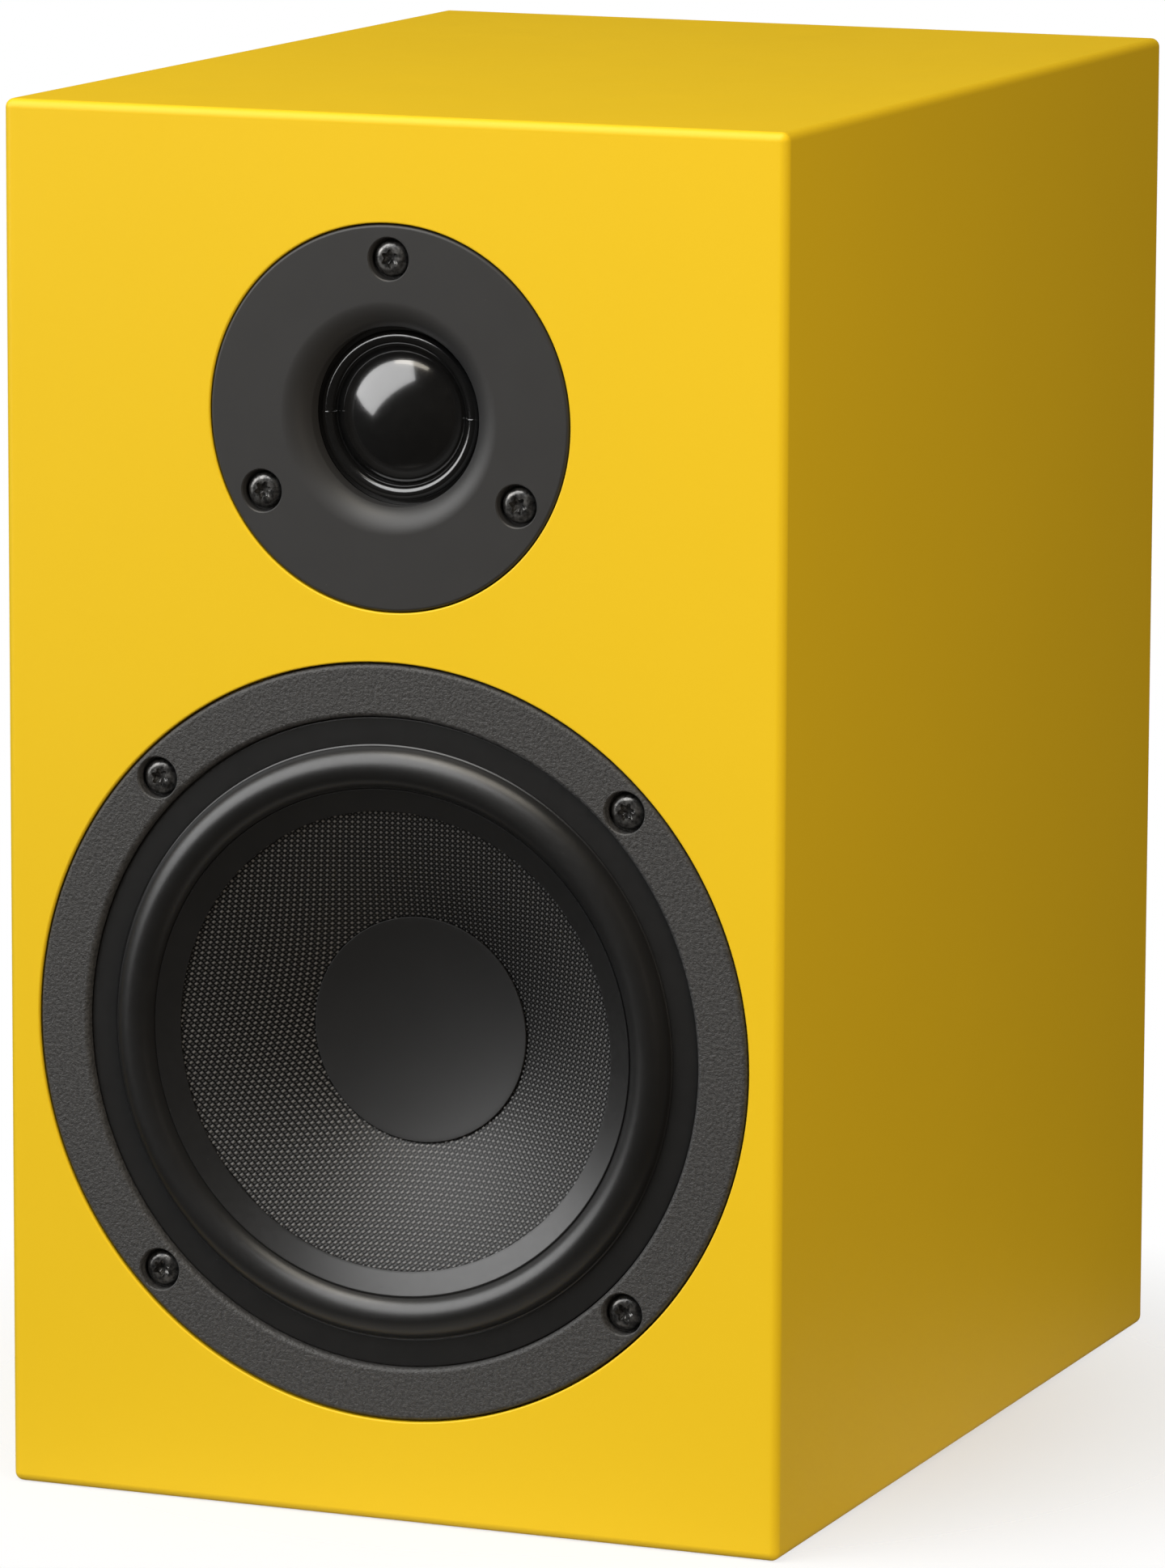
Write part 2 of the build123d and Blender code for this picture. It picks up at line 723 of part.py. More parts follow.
def tweeter():
    sink, points = tweeter_screw_sink, tweeter_screw_points
    hub, plate = tweeter_hub_depth, faceplate_thickness
    seal = gasket(tweeter_cutout_radius, faceplate_radius, plate, tweeter_gasket_thickness, points)
    coil_start = hub + tweeter_top_plate_thickness / 2 - tweeter_coil_length / 2
    coil_end, former_start = coil_start + tweeter_coil_length, dome_skirt_depth - dome_thickness
    plate_bore = dome_coil_outer + tweeter_air_gap
    board_low, board_high = tweeter_blade_z - 2.8, tweeter_blade_z + 2.8
    nodes = {
        "tweeter_faceplate": tweeter_faceplate(),
        "tweeter_gasket": seal - tweeter_notch,
        "tweeter_screws": screw_group(sink, points),
        "tweeter_dome": tweeter_dome(),
        "tweeter_surround": tweeter_surround(),
        "tweeter_former": ring(tweeter_former_radius, dome_former_outer, former_start, coil_end),
        "tweeter_voice_coil": ring(dome_former_outer, dome_coil_outer, coil_start, coil_end),
        "tweeter_top_plate": ring(plate_bore, tweeter_top_plate_radius, hub, tweeter_plate_end),
        "tweeter_magnet": ring(tweeter_magnet_bore, tweeter_magnet_radius, tweeter_plate_end, tweeter_magnet_end),
        "tweeter_yoke": tweeter_yoke(),
        "tweeter_felt_pad": ring(tweeter_vent_radius + 0.5, tweeter_pole_radius - 1.5, hub - 0.5, hub + 0.5),
        "tweeter_terminal_board": terminal_board(
            8.0, board_low, board_high, plate, tweeter_blade_places, tweeter_blade_width
        ),
        "tweeter_blades": Compound([Pos(*p) * blade(tweeter_blade_width, 0, 10.0) for p in tweeter_blade_places]),
    }
    return {name: tweeter_place * solid for name, solid in nodes.items()}


# ---------------------------------------------------------------- rear: port and terminals
def port_tube():
    """Plastic tube with a flared mouth that sits in a flange on the rear face, and a plain inner end."""
    out = REAR + port_flange_thickness
    bore, wall, flare = port_radius, port_wall, port_flare
    tube = turned(
        Line((bore, REAR - port_length), (bore, out - flare)),
        RadiusArc((bore, out - flare), (bore + flare, out), flare),
        Polyline((bore + flare, out), (port_flange_radius - 0.8, out), (port_flange_radius, out - 0.8)),
        Polyline((port_flange_radius, out - 0.8), (port_flange_radius, REAR), (bore + wall, REAR)),
        Polyline((bore + wall, REAR), (bore + wall, REAR - port_length), (bore, REAR - port_length)),
    )
    return Pos(0, 0, port_height) * tube


def cup_points():
    x, z = cup_plate_width / 2 - cup_screw_inset, cup_plate_height / 2 - cup_screw_inset
    return [(sx * x, cup_height + sz * z) for sx in (-1, 1) for sz in (-1, 1)]


tray_face = REAR - cup_tray_depth
tray_back = tray_face - cup_floor
cup_screw_holes = [rod(cup_screw_radius + 0.2, REAR - 3, REAR + 5, x, z) for x, z in cup_points()]


def terminal_cup():
    """Screwed plate with a sunken tray that holds the two posts."""
    centre = Pos(0, 0, cup_height)
    out = REAR + cup_plate_thickness
    start = REAR + cup_gasket_thickness
    plate = prism(RectangleRounded(cup_plate_width, cup_plate_height, cup_plate_corner), start, out)
    plate = chamfer(plate.faces().sort_by(Axis.Y)[-1].edges(), 0.8)
    tray = prism(RectangleRounded(cup_tray_width, cup_tray_height, cup_tray_corner - 1), tray_back, start)
    inner_width, inner_height = cup_tray_width - 2 * cup_wall, cup_tray_height - 2 * cup_wall
    hollow = prism(RectangleRounded(inner_width, inner_height, cup_tray_corner - 2), tray_face, out + 1)
    posts = [rod(post_radius + 0.1, tray_back - 1, tray_face + 1, x, 0) for x in post_x]
    heads = [
        rod(cup_screw_head_radius + 0.2, out - cup_screw_head_height, out + 1, x, z - cup_height)
        for x, z in cup_points()
    ]
    shanks = [rod(cup_screw_radius + 0.2, REAR - 3, out + 1, x, z - cup_height) for x, z in cup_points()]
    return centre * (plate + tray - hollow - posts - heads - shanks)


def cup_gasket():
    start, end = REAR, REAR + cup_gasket_thickness
    sheet = prism(RectangleRounded(cup_plate_width - 1, cup_plate_height - 1, cup_plate_corner - 0.5), start, end)
    clear = 0.1
    middle = RectangleRounded(cup_tray_width + 2 * clear, cup_tray_height + 2 * clear, cup_tray_corner - 1 + clear)
    return Pos(0, 0, cup_height) * (sheet - prism(middle, start - 1, end + 1)) - cup_screw_holes


def cup_screws():
    """Small pan-head screws with a cross socket, sunk in the plate."""
    under = REAR + cup_plate_thickness - cup_screw_head_height
    out, end = under + cup_screw_head_height - 0.1, under - cup_screw_length
    head_radius, shank = cup_screw_head_radius, cup_screw_radius
    screw = turned(
        Polyline((0, end), (0.2, end), (shank, end + 2.5), (shank, under), (head_radius, under)),
        Line((head_radius, under), (head_radius, under + 0.5)),
        ThreePointArc((head_radius, under + 0.5), (head_radius * 0.75, out - 0.25), (0, out)),
        Line((0, out), (0, end)),
    )
    arm, width = 1.5, 0.6
    cross = [block((-a, out - 1.1, -b), (a, out + 1, b)) for a, b in ((arm, width / 2), (width / 2, arm))]
    return Compound([Pos(x, 0, z) * (screw - cross) for x, z in cup_points()])


post_x = (post_spacing / 2, -post_spacing / 2)
collar_start = tray_face + post_base_height
washer_start = collar_start + post_collar_height
knob_start = washer_start + clamp_washer_thickness
stem_end = tray_face + post_stem_outside
stem_inner_end = tray_back - post_stem_inside
lug_start = tray_back - lug_thickness
nut_start = lug_start - nut_height


def binding_post():
    """Threaded stem with a base, a collar, a cross hole for bare wire and a socket for a plug in its end."""
    stem = rod(post_radius, stem_inner_end, stem_end)
    base = rod(post_base_radius, tray_face, collar_start)
    collar = rod(post_collar_radius, collar_start, washer_start)
    socket = rod(post_socket_radius, stem_end - post_socket_depth, stem_end + 1)
    hole_place = Pos(0, washer_start + post_wire_hole_radius + 0.4, 0) * Rot(0, 90, 0)
    return stem + base + collar - socket - hole_place * Cylinder(post_wire_hole_radius, 4 * post_radius)


def knob():
    """Fluted nut with a wide mouth round the plug socket."""
    end = knob_start + knob_length
    flange = 1.5
    body = turned(
        Polyline(
            (post_radius + thread_clearance, knob_start),
            (knob_radius, knob_start),
            (knob_radius, end - 0.8),
            (knob_radius - 0.8, end),
            (knob_bore_mouth, end),
            (knob_bore_mouth, stem_end - 0.5),
            (post_radius + thread_clearance, stem_end - 0.5),
            close=True,
        )
    )
    places = on_circle(knob_radius, knob_flute_count, 0)
    flutes = [rod(knob_flute_radius, knob_start + flange, end + 1, x, z) for x, z in places]
    return body - flutes


def hex_nut():
    shape = RegularPolygon(nut_width / sqrt(3), 6) - Circle(post_radius)
    return prism(shape, nut_start, lug_start)


def solder_lug():
    """Ring under the nut with a tail that points down to the wire."""
    ring_part = Circle(post_radius + 2.2) + Pos(0, -lug_reach / 2) * Rectangle(3.2, lug_reach)
    return prism(ring_part - Circle(post_radius + 0.05), lug_start, tray_back)


def terminals():
    nodes = {"terminal_cup": terminal_cup(), "cup_gasket": cup_gasket(), "cup_screws": cup_screws()}
    washer = ring(post_radius + thread_clearance, clamp_washer_radius, washer_start, knob_start)
    for colour, x in zip(("red", "black"), post_x):
        place = Pos(x, 0, cup_height)
        nodes[colour + "_post"] = place * binding_post()
        nodes[colour + "_clamp_washer"] = place * washer
        nodes[colour + "_knob"] = place * knob()
    nodes["post_nuts"] = Compound([Pos(x, 0, cup_height) * hex_nut() for x in post_x])
    nodes["post_lugs"] = Compound([Pos(x, 0, cup_height) * solder_lug() for x in post_x])
    return nodes


# ---------------------------------------------------------------- crossover
board_bottom = FLOOR + spacer_height
board_top = board_bottom + board_thickness
board_front = board_centre_y - board_length / 2


def board_points():
    x, y = board_width / 2 - board_screw_inset, board_length / 2 - board_screw_inset
    return [(sx * x, board_centre_y + sy * y) for sx in (-1, 1) for sy in (-1, 1)]


def standing_ring(inner, outer, height, x, y):
    """A coil that stands on the board."""
    return Pos(x, y, board_top + height / 2) * (Cylinder(outer, height) - Cylinder(inner, height + 1))


def lying_can(radius, length, x, y, along):
    """A capacitor that lies on the board."""
    turn = Rot(0, 90, 0) if along == "X" else Rot(90, 0, 0)
    can = turn * Cylinder(radius, length)
    can = fillet(can.edges().filter_by(GeomType.CIRCLE), 0.8)
    return Pos(x, y, board_top + radius) * can


def board_screw():
    height = board_screw_head_height
    head = Pos(0, 0, board_top + height / 2) * Cylinder(board_screw_head_radius, height)
    head = fillet(head.edges().sort_by(Axis.Z)[-1], 0.9)
    shank_length = board_top - FLOOR + board_screw_grip
    shank = Pos(0, 0, board_top - shank_length / 2) * Cylinder(board_screw_radius, shank_length)
    slot = Pos(0, 0, board_top + height) * Box(2 * board_screw_head_radius, 0.7, 1.2)
    return head + shank - slot


def crossover():
    points = [Pos(x, y, 0) for x, y in board_points()]
    board_place = Pos(0, board_centre_y, board_bottom + board_thickness / 2)
    board = board_place * Box(board_width, board_length, board_thickness)
    through = Pos(0, 0, board_top) * Cylinder(board_screw_radius + 0.15, 6 * board_thickness)
    spacer = Cylinder(spacer_radius, spacer_height) - Cylinder(board_screw_radius + 0.15, spacer_height + 1)
    middle = board_centre_y
    return {
        "crossover_board": board - [p * through for p in points],
        "crossover_spacers": Compound([p * Pos(0, 0, FLOOR + spacer_height / 2) * spacer for p in points]),
        "crossover_screws": Compound([p * board_screw() for p in points]),
        "bass_inductor": standing_ring(8.0, 17.0, 14.0, -22, middle + 14),
        "treble_inductor": standing_ring(6.0, 11.5, 9.0, 26, middle + 20),
        "bass_capacitor": lying_can(8.0, 34.0, -24, middle - 20, "X"),
        "treble_capacitor": lying_can(6.5, 28.0, 22, middle - 6, "X"),
        "crossover_resistor": block((8, middle - 31, board_top), (33, middle - 22, board_top + 9)),
    }


# ---------------------------------------------------------------- wiring
def push_on_socket(width):
    """Crimped sleeve over a blade, with a barrel that holds the wire."""
    side, height = width / 2 + blade_fit + socket_wall, blade_thickness / 2 + blade_fit + socket_wall
    sleeve = block((-side, 0, -height), (side, socket_length, height))
    slot = block(
        (-width / 2 - blade_fit, -1, -blade_thickness / 2 - blade_fit),
        (width / 2 + blade_fit, socket_length - 0.8, blade_thickness / 2 + blade_fit),
    )
    return sleeve - slot + rod(socket_barrel_radius, socket_length, socket_length + socket_barrel_length)


def blade_sockets():
    """Where each push-on socket starts, and its blade's width."""
    behind = board_thickness + 1.4
    low = [woofer_place * Pos(x, y + behind, z) for x, y, z in woofer_blade_places]
    high = [tweeter_place * Pos(x, y + behind, z) for x, y, z in tweeter_blade_places]
    return [(p, woofer_blade_width) for p in low], [(p, tweeter_blade_width) for p in high]


def wiring():
    low, high = blade_sockets()
    sockets = [place * push_on_socket(width) for place, width in low + high]
    out = socket_length + socket_barrel_length
    bass, treble, feed = [], [], []
    for (place, _), side in zip(low, (-1, 1)):
        x, y, z = place.position.X, place.position.Y + out, place.position.Z
        foot = (side * 4.5, board_front + wire_inset, board_top)
        over = (foot[0], foot[1], z - 14)
        route = [(x, y, z), (x, y + 14, z), (side * 6, y + 34, z - 12), over, foot]
        bass.append(tube_along(route, wire_radius))
    for (place, _), drop in zip(high, (0, 5)):
        x, y, z = place.position.X, place.position.Y + out, place.position.Z
        bend_x = treble_wire_x + drop
        foot = (treble_wire_x - 4 + drop, board_front + 3 * wire_inset, board_top)
        treble.append(
            tube_along(
                [
                    (x, y, z),
                    (x, y + 12, z),
                    (x + 14, y + 28, z - 6 - drop),
                    (bend_x - 4, y + 44, z - 34 - drop),
                    (bend_x, y + 52, z - 78),
                    (bend_x, y + 60, z - 122),
                    (foot[0], foot[1], board_top + 22),
                    foot,
                ],
                wire_radius,
            )
        )
    for x in post_x:
        start_z = cup_height - lug_reach + 3
        y = lug_start - wire_radius - 0.05
        foot_y = board_front + board_length - wire_inset
        feed.append(
            tube_along(
                [
                    (x, y, start_z),
                    (x, y, start_z - 15),
                    (x * 1.3, y - 8, board_top + 18),
                    (x * 1.3, foot_y, board_top + 14),
                    (x * 1.3, foot_y, board_top),
                ],
                wire_radius,
            )
        )
    return {
        "push_on_sockets": Compound(sockets),
        "woofer_wires": Compound(bass),
        "tweeter_wires": Compound(treble),
        "input_wires": Compound(feed),
    }


def wadding():
    """Fibre blanket laid over the sides and the ceiling."""
    inner, ceiling = cabinet_width / 2 - wrap_thickness, cabinet_height - wrap_thickness
    thick, side = wadding_thickness, inner - wadding_gap
    start, end = FRONT + wadding_front_inset, REAR - wadding_rear_inset
    shell = block((-side, start, wadding_low), (side, end, ceiling - wadding_gap))
    hollow = block((thick - side, start - 1, 0), (side - thick, end + 1, ceiling - thick))
    corners = hollow.edges().filter_by(Axis.Y).group_by(Axis.Z)[-1]
    return shell - fillet(corners, thick)


# ---------------------------------------------------------------- write every node
def loudspeaker():
    body = cabinet_body()
    nodes = {"front_baffle": front_baffle(body), "rear_panel": rear_panel(body), **wrap_panels(body)}
    nodes |= woofer()
    nodes |= tweeter()
    nodes |= {"port_tube": port_tube()}
    nodes |= terminals()
    nodes |= crossover()
    nodes |= wiring()
    nodes |= {"wadding": wadding()}
    return nodes


os.makedirs("parts", exist_ok=True)
for name, solid in loudspeaker().items():
    export_step(solid, f"parts/{name}.step")
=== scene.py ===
"""Looks of a yellow two-way bookshelf loudspeaker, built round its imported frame.

Shapes are drawn in millimetres. Each driver and rear fitting is drawn in a frame of its own: x to the right, y the
depth behind the face that it sits in, and z up, with its axis on x = z = 0. The shop functions turn those drawings
into pieces in metres, in the row frame.
"""

from math import cos, pi, radians, sin, sqrt

import bmesh
import bpy
import numpy as np
from mathutils import Matrix, Vector


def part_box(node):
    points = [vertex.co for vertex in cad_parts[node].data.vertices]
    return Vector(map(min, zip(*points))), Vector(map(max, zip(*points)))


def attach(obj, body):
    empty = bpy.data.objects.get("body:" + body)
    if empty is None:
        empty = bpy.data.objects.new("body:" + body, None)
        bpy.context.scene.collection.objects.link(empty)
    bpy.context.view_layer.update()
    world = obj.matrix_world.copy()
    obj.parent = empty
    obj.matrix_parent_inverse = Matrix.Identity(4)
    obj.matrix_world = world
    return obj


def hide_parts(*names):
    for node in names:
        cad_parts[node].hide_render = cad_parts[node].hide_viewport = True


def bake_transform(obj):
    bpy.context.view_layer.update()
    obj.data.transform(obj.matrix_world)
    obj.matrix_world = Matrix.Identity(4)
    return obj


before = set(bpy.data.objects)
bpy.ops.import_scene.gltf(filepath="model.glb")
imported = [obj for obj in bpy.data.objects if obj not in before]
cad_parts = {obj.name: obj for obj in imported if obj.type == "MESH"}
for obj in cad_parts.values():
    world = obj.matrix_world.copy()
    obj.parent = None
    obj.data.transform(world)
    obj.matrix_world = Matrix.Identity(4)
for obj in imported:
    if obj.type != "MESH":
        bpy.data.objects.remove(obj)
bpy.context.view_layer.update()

MM = 0.001


# ---------------------------------------------------------------- places read from the frame
def box_mm(node):
    """Lowest and highest corner of a node, in millimetres."""
    low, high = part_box(node)
    return Vector(low) / MM, Vector(high) / MM


def centre_of(node):
    low, high = box_mm(node)
    return (low + high) / 2


def half_width(node):
    low, high = box_mm(node)
    return (high.x - low.x) / 2


front_low, front_high = box_mm("front_baffle")
rear_low, rear_high = box_mm("rear_panel")
FRONT, REAR = front_low.y, rear_high.y
WIDTH, HEIGHT = front_high.x - front_low.x, front_high.z - front_low.z
woofer_place = Vector((0, FRONT, centre_of("woofer_magnet").z))
tweeter_place = Vector((0, FRONT, centre_of("tweeter_magnet").z))
port_place = Vector((0, REAR, centre_of("port_tube").z))
cup_place = Vector((0, REAR, centre_of("terminal_cup").z))
flange_radius = half_width("woofer_gasket")
plate_radius = half_width("tweeter_gasket")

# The cone's two sets of strands cross nearly square: strands per millimetre along x and z.
STRANDS = ((0.817, 0.780), (-0.884, 1.142))


# ---------------------------------------------------------------- shop: outlines
def arc(start, middle, end, steps=12):
    """Points on the circle through three points, from start to end."""
    (ax, ay), (bx, by), (cx, cy) = start, middle, end
    turn = 2 * (ax * (by - cy) + bx * (cy - ay) + cx * (ay - by))
    sa, sb, sc = ax * ax + ay * ay, bx * bx + by * by, cx * cx + cy * cy
    x = sa * (by - cy) + sb * (cy - ay) + sc * (ay - by)
    y = sa * (cx - bx) + sb * (ax - cx) + sc * (bx - ax)
    centre = Vector((x, y))
    centre /= turn
    first, half, last = (Vector(p) - centre for p in (start, middle, end))
    swing = first.angle_signed(half) + half.angle_signed(last)
    points = []
    for k in range(steps + 1):
        spoke = first.copy()
        spoke.rotate(Matrix.Rotation(-swing * k / steps, 2))
        points.append(tuple(centre + spoke))
    return points


def dish(rim_radius, rim, middle, steps=24):
    """Points of a shallow dish or dome, from its rim to its middle on the axis."""
    depth = middle - rim
    sphere = (rim_radius**2 + depth**2) / (2 * abs(depth))
    side = 1 if depth > 0 else -1
    points = []
    for k in range(steps + 1):
        radius = rim_radius * (1 - k / steps)
        points.append((radius, middle - side * (sphere - sqrt(sphere**2 - radius**2))))
    return points


def eased(corners, steps=4):
    """A closed outline. A corner is (x, y), or (x, y, ease) where it is rounded off."""
    points = []
    count = len(corners)
    for k, corner in enumerate(corners):
        here = Vector(corner[:2])
        if len(corner) == 2:
            points.append(tuple(here))
            continue
        before = Vector(corners[k - 1][:2]) - here
        after = Vector(corners[(k + 1) % count][:2]) - here
        ease = min(corner[2], before.length / 2, after.length / 2)
        start, end = here + before.normalized() * ease, here + after.normalized() * ease
        for step in range(steps + 1):
            t = step / steps
            points.append(tuple(start * (1 - t) ** 2 + here * 2 * t * (1 - t) + end * t * t))
    return points


def on_circle(radius, count, first_angle=0.0):
    angles = [radians(first_angle + 360 * k / count) for k in range(count)]
    return [(radius * cos(a), radius * sin(a)) for a in angles]


def rounded_rectangle(width, height, corner, depth, steps=8):
    """Points of a rounded rectangle across the depth axis."""
    points = []
    for side, rise, first in ((1, 1, 0), (-1, 1, 90), (-1, -1, 180), (1, -1, 270)):
        x, z = side * (width / 2 - corner), rise * (height / 2 - corner)
        for k in range(steps + 1):
            angle = radians(first + 90 * k / steps)
            points.append((x + corner * cos(angle), depth, z + corner * sin(angle)))
    return points


# ---------------------------------------------------------------- shop: pieces
def make_piece(name, vertices, faces, place=(0, 0, 0)):
    """An object from points in millimetres, with its faces turned outwards."""
    mesh = bpy.data.meshes.new(name)
    shift = Vector(place)
    mesh.from_pydata([(Vector(v) + shift) * MM for v in vertices], [], faces)
    piece = bpy.data.objects.new(name, mesh)
    bpy.context.scene.collection.objects.link(piece)
    rework(piece, lambda work: bmesh.ops.recalc_face_normals(work, faces=work.faces))
    return piece


def rework(piece, change):
    """Runs change on the piece's mesh."""
    work = bmesh.new()
    work.from_mesh(piece.data)
    change(work)
    work.to_mesh(piece.data)
    work.free()


def shade(piece, sharpest=32.0):
    """Smooth shading, with creases where faces meet at more than the sharpest angle in degrees."""

    def mark(work):
        for face in work.faces:
            face.smooth = True
        for edge in work.edges:
            edge.smooth = len(edge.link_faces) == 2 and edge.calc_face_angle() < radians(sharpest)

    rework(piece, mark)
    even = piece.modifiers.new("even_flats", "WEIGHTED_NORMAL")
    even.keep_sharp = True


def apply_modifiers(piece):
    view = bpy.context.evaluated_depsgraph_get()
    mesh = bpy.data.meshes.new_from_object(piece.evaluated_get(view))
    piece.modifiers.clear()
    piece.data = mesh


def combine(piece, operation, tools):
    """Cuts the tools out of the piece, or joins them to it, and removes the tools."""
    for tool in tools:
        step = piece.modifiers.new("combine", "BOOLEAN")
        step.operation, step.solver, step.material_mode, step.object = operation, "EXACT", "TRANSFER", tool
    apply_modifiers(piece)
    for tool in tools:
        bpy.data.objects.remove(tool)


def spin(outline, steps, radius_at=None):
    """Vertices and faces of a closed outline of (radius, depth) turned about the depth axis.

    radius_at(radius, depth, angle) may change the radius round the axis, as flutes do.
    """
    vertices, rings = [], []
    for radius, depth in outline:
        if radius < 1e-6:
            rings.append([len(vertices)] * steps)
            vertices.append((0, depth, 0))
            continue
        rings.append(list(range(len(vertices), len(vertices) + steps)))
        for k in range(steps):
            angle = 2 * pi * k / steps
            reach = radius_at(radius, depth, angle) if radius_at else radius
            vertices.append((reach * cos(angle), depth, reach * sin(angle)))
    faces = []
    for ring, following in zip(rings, rings[1:] + rings[:1]):
        for k in range(steps):
            after = (k + 1) % steps
            corners = list(dict.fromkeys((ring[k], ring[after], following[after], following[k])))
            if len(corners) > 2:
                faces.append(corners)
    return vertices, faces


def turned(name, outline, place=(0, 0, 0), steps=192, radius_at=None):
    return make_piece(name, *spin(outline, steps, radius_at), place)


def loft(name, sections, place=(0, 0, 0)):
    """A skin over sections with equal numbers of points, capped at both ends."""
    count = len(sections[0])
    vertices = [point for section in sections for point in section]
    faces = []
    for a in range(len(sections) - 1):
        for k in range(count):
            after = (k + 1) % count
            faces.append((a * count + k, a * count + after, (a + 1) * count + after, (a + 1) * count + k))
    faces.append(tuple(range(count)))
    faces.append(tuple((len(sections) - 1) * count + k for k in range(count)))
    return make_piece(name, vertices, faces, place)


def bar(name, low, high, place=(0, 0, 0)):
    """A straight bar between two corners."""
    (x, y, z), (far_x, far_y, far_z) = low, high
    ends = [[(x, d, z), (far_x, d, z), (far_x, d, far_z), (x, d, far_z)] for d in (y, far_y)]
    return loft(name, ends, place)


def plug(radius, start, end, place=(0, 0, 0), x=0.0, z=0.0, steps=96):
    """A round tool that drills a hole."""
    outline = [(0, start), (radius, start), (radius, end), (0, end)]
    return turned("tool", outline, Vector(place) + Vector((x, 0, z)), steps)


def joined(name, groups, place=(0, 0, 0)):
    """One piece from several sets of (vertices, faces), each moved by its own (x, z)."""
    vertices, faces = [], []
    for (points, sides), (x, z) in groups:
        start = len(vertices)
        vertices += [(px + x, py, pz + z) for px, py, pz in points]
        faces += [[start + k for k in side] for side in sides]
    return make_piece(name, vertices, faces, place)


def merge(name, pieces):
    """One piece from several that are already made."""
    with bpy.context.temp_override(active_object=pieces[0], selected_editable_objects=pieces):
        bpy.ops.object.join()
    pieces[0].name = name
    return pieces[0]


def shape_of(piece):
    """A piece's vertices, in millimetres, and faces. The piece itself is removed."""
    shape = [tuple(v.co / MM) for v in piece.data.vertices], [tuple(f.vertices) for f in piece.data.polygons]
    bpy.data.objects.remove(piece)
    return shape


def wire(route, radius, steps=10):
    """Vertices and faces of a round wire that follows the points of its route."""
    points = [Vector(p) for p in route]
    sections = []
    side = Vector((1, 0, 0))
    for k, point in enumerate(points):
        along = (points[min(k + 1, len(points) - 1)] - points[max(k - 1, 0)]).normalized()
        side = (side - along * side.dot(along)).normalized()
        other = along.cross(side)
        angles = [2 * pi * step / steps for step in range(steps)]
        sections.append([point + (side * cos(a) + other * sin(a)) * radius for a in angles])
    vertices = [v for section in sections for v in section]
    faces = [tuple(range(steps)), tuple(len(vertices) - 1 - k for k in range(steps))]
    for a in range(len(sections) - 1):
        for k in range(steps):
            after = (k + 1) % steps
            faces.append((a * steps + k, a * steps + after, (a + 1) * steps + after, (a + 1) * steps + k))
    return vertices, faces


# ---------------------------------------------------------------- shop: finishes
class Signal:
    """A number or colour that runs through a finish's nodes. Arithmetic on it adds Math nodes."""

    def __init__(self, finish, socket):
        self.finish, self.socket = finish, socket

    def maths(self, operation, *values):
        return self.finish.node("Math", {"operation": operation}, dict(enumerate(values)))

    def __add__(self, other):
        return self.maths("ADD", self, other)

    def __sub__(self, other):
        return self.maths("SUBTRACT", self, other)

    def __rsub__(self, other):
        return self.maths("SUBTRACT", other, self)

    def __mul__(self, other):
        return self.maths("MULTIPLY", self, other)

    def __gt__(self, level):
        return self.maths("GREATER_THAN", self, level)

    def __mod__(self, step):
        return self.maths("FLOORED_MODULO", self, step)

    __radd__, __rmul__ = __add__, __mul__


